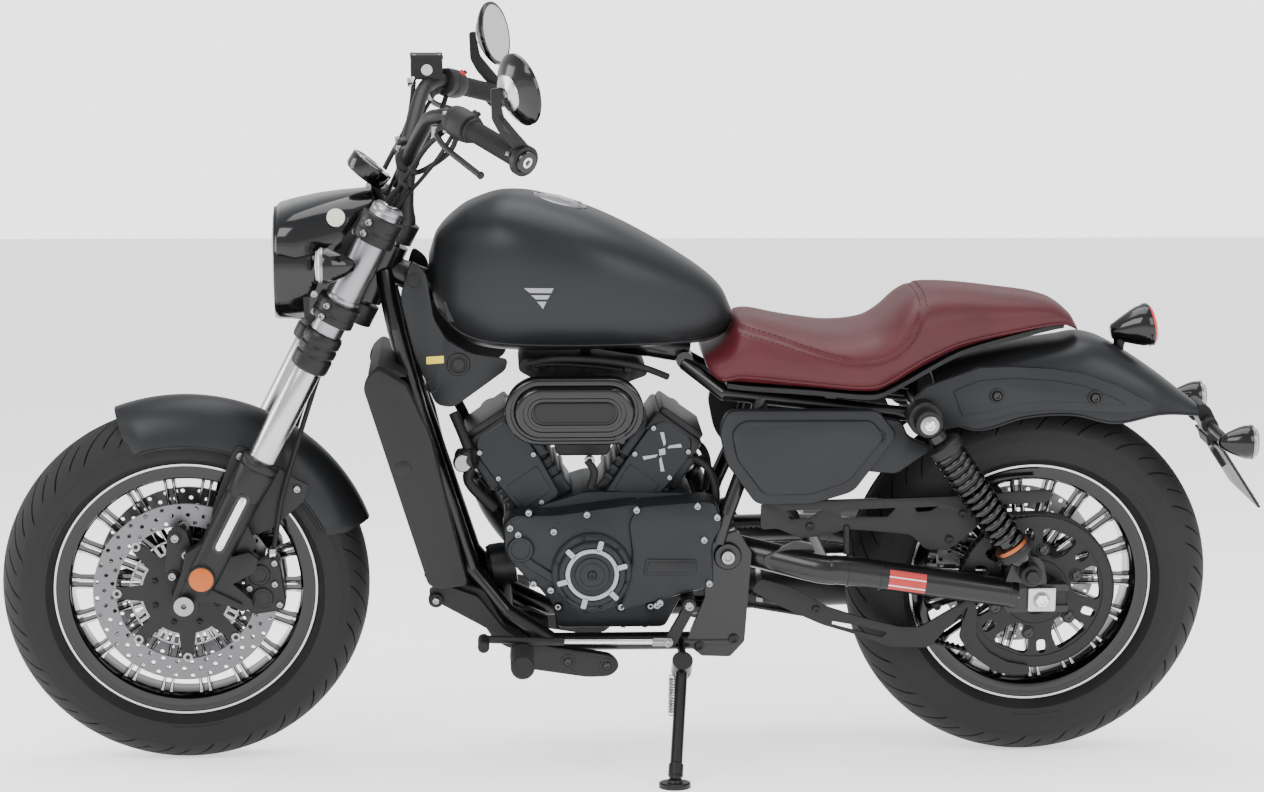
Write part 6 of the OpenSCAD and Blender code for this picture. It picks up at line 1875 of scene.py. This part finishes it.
tyre("front_tyre_tread", "front_tyre", "front_wheel_body", FRONT_HUB, FRONT_R, FRONT_W, FRONT_RIM, 26)
tyre("rear_tyre_tread", "rear_tyre", "rear_wheel_body", REAR_HUB, REAR_R, REAR_W, REAR_RIM, 24)
cast_wheel("front_cast_wheel", "front_wheel", "front_wheel_body", FRONT_HUB, FRONT_W, FRONT_RIM, 10.1, 42, 52, 8)
cast_wheel("rear_cast_wheel", "rear_wheel", "rear_wheel_body", REAR_HUB, REAR_W, REAR_RIM, 11.1, 52, 72, 7)
front_disc(-1)
front_disc(1)
for build in (fuel_tank, fuel_cap, front_fender, rear_fender, fender_struts, seat, fork_legs, triple_clamps,
              headlight, front_signals, handlebar, grips, crankcase):
    build()
cylinder("front_cylinder_block", "front_cylinder", -1)
cylinder("rear_cylinder_block", "rear_cylinder", 1)
for build in (air_filter, neck_and_radiator, side_covers, swingarm, axle_blocks, shock_absorbers, drive_belt,
              belt_guards, rear_pulley, rear_lights, plate_holder, hand_controls, wiring, mirrors, instrument,
              calipers, rear_caliper, foot_controls, side_stand, exhaust, frame_fittings):
    build()

# ---- Materials of the CAD parts that stay ----------------------------------------------------------

FINISHES = {"frame_tubes": FRAME_BLACK, "front_axle": STEEL, "brake_hoses": RUBBER}
for name, finish in FINISHES.items():
    part = frame["nodes"][name]
    for piece in [part] + list(part.children_recursive):
        if piece.type == "MESH":
            piece.data.materials.clear()
            piece.data.materials.append(finish)


# ---- Studio --------------------------------------------------------------------------------------

def studio():
    """The camera, a flat pale floor, and soft light."""
    scene = bpy.context.scene
    turn, lift = radians(-3.06), radians(4.51)
    aim = Vector((0.0048, 0.1717, 0.640))
    back = Vector((sin(turn) * cos(lift), -cos(turn) * cos(lift), sin(lift)))
    camera = bpy.data.objects.new("camera", bpy.data.cameras.new("camera"))
    camera.data.lens, camera.data.sensor_width = 80.71, 36
    camera.location = aim + 5.057 * back
    camera.rotation_euler = back.to_track_quat("Z", "Y").to_euler()
    scene.collection.objects.link(camera)
    scene.camera = camera

    pale = bpy.data.materials.new("studio_floor")
    pale.use_nodes = True
    surface = pale.node_tree.nodes["Principled BSDF"]
    surface.inputs["Base Color"].default_value = (0.97, 0.97, 0.97, 1)
    surface.inputs["Roughness"].default_value = 0.9
    surface.inputs["Emission Color"].default_value = (1, 1, 1, 1)
    surface.inputs["Emission Strength"].default_value = 1.0
    bm = bmesh.new()
    bmesh.ops.create_grid(bm, x_segments=2, y_segments=2, size=40)
    mesh = bpy.data.meshes.new("studio_floor")
    bm.to_mesh(mesh)
    bm.free()
    mesh.materials.append(pale)
    floor = bpy.data.objects.new("studio_floor", mesh)
    scene.collection.objects.link(floor)

    world = bpy.data.worlds.new("studio")
    scene.world = world
    world.use_nodes = True
    nodes, links = world.node_tree.nodes, world.node_tree.links
    backdrop = nodes["Background"]
    backdrop.inputs["Strength"].default_value = 1.15
    place = nodes.new("ShaderNodeTexCoord")
    split = nodes.new("ShaderNodeSeparateXYZ")
    ramp = nodes.new("ShaderNodeValToRGB")
    links.new(place.outputs["Generated"], split.inputs["Vector"])
    links.new(split.outputs["Z"], ramp.inputs["Fac"])
    ramp.color_ramp.elements[0].position = 0.0
    ramp.color_ramp.elements[0].color = (1.0, 1.0, 1.0, 1)
    ramp.color_ramp.elements[1].position = 0.9
    ramp.color_ramp.elements[1].color = (0.75, 0.77, 0.8, 1)
    links.new(ramp.outputs["Color"], backdrop.inputs["Color"])
    seen = nodes.new("ShaderNodeBackground")
    seen.inputs["Color"].default_value = (1, 1, 1, 1)
    seen.inputs["Strength"].default_value = 2.9
    path = nodes.new("ShaderNodeLightPath")
    mix = nodes.new("ShaderNodeMixShader")
    links.new(path.outputs["Is Camera Ray"], mix.inputs["Fac"])
    links.new(backdrop.outputs["Background"], mix.inputs[1])
    links.new(seen.outputs["Background"], mix.inputs[2])
    links.new(mix.outputs["Shader"], nodes["World Output"].inputs["Surface"])

    for name, at, size, power_w in (("key", (-2.6, -3.4, 3.6), 2.6, 150), ("fill", (3.2, -3.2, 2.4), 2.4, 90),
                                    ("top", (0.2, 0.4, 4.2), 3.2, 130), ("front", (-4.2, 0.6, 1.6), 1.8, 60)):
        lamp = bpy.data.objects.new(name, bpy.data.lights.new(name, "AREA"))
        lamp.data.energy, lamp.data.size = power_w, size
        lamp.location = at
        lamp.rotation_euler = (Vector(at) - Vector((0, 0, 0.5))).to_track_quat("Z", "Y").to_euler()
        scene.collection.objects.link(lamp)


studio()
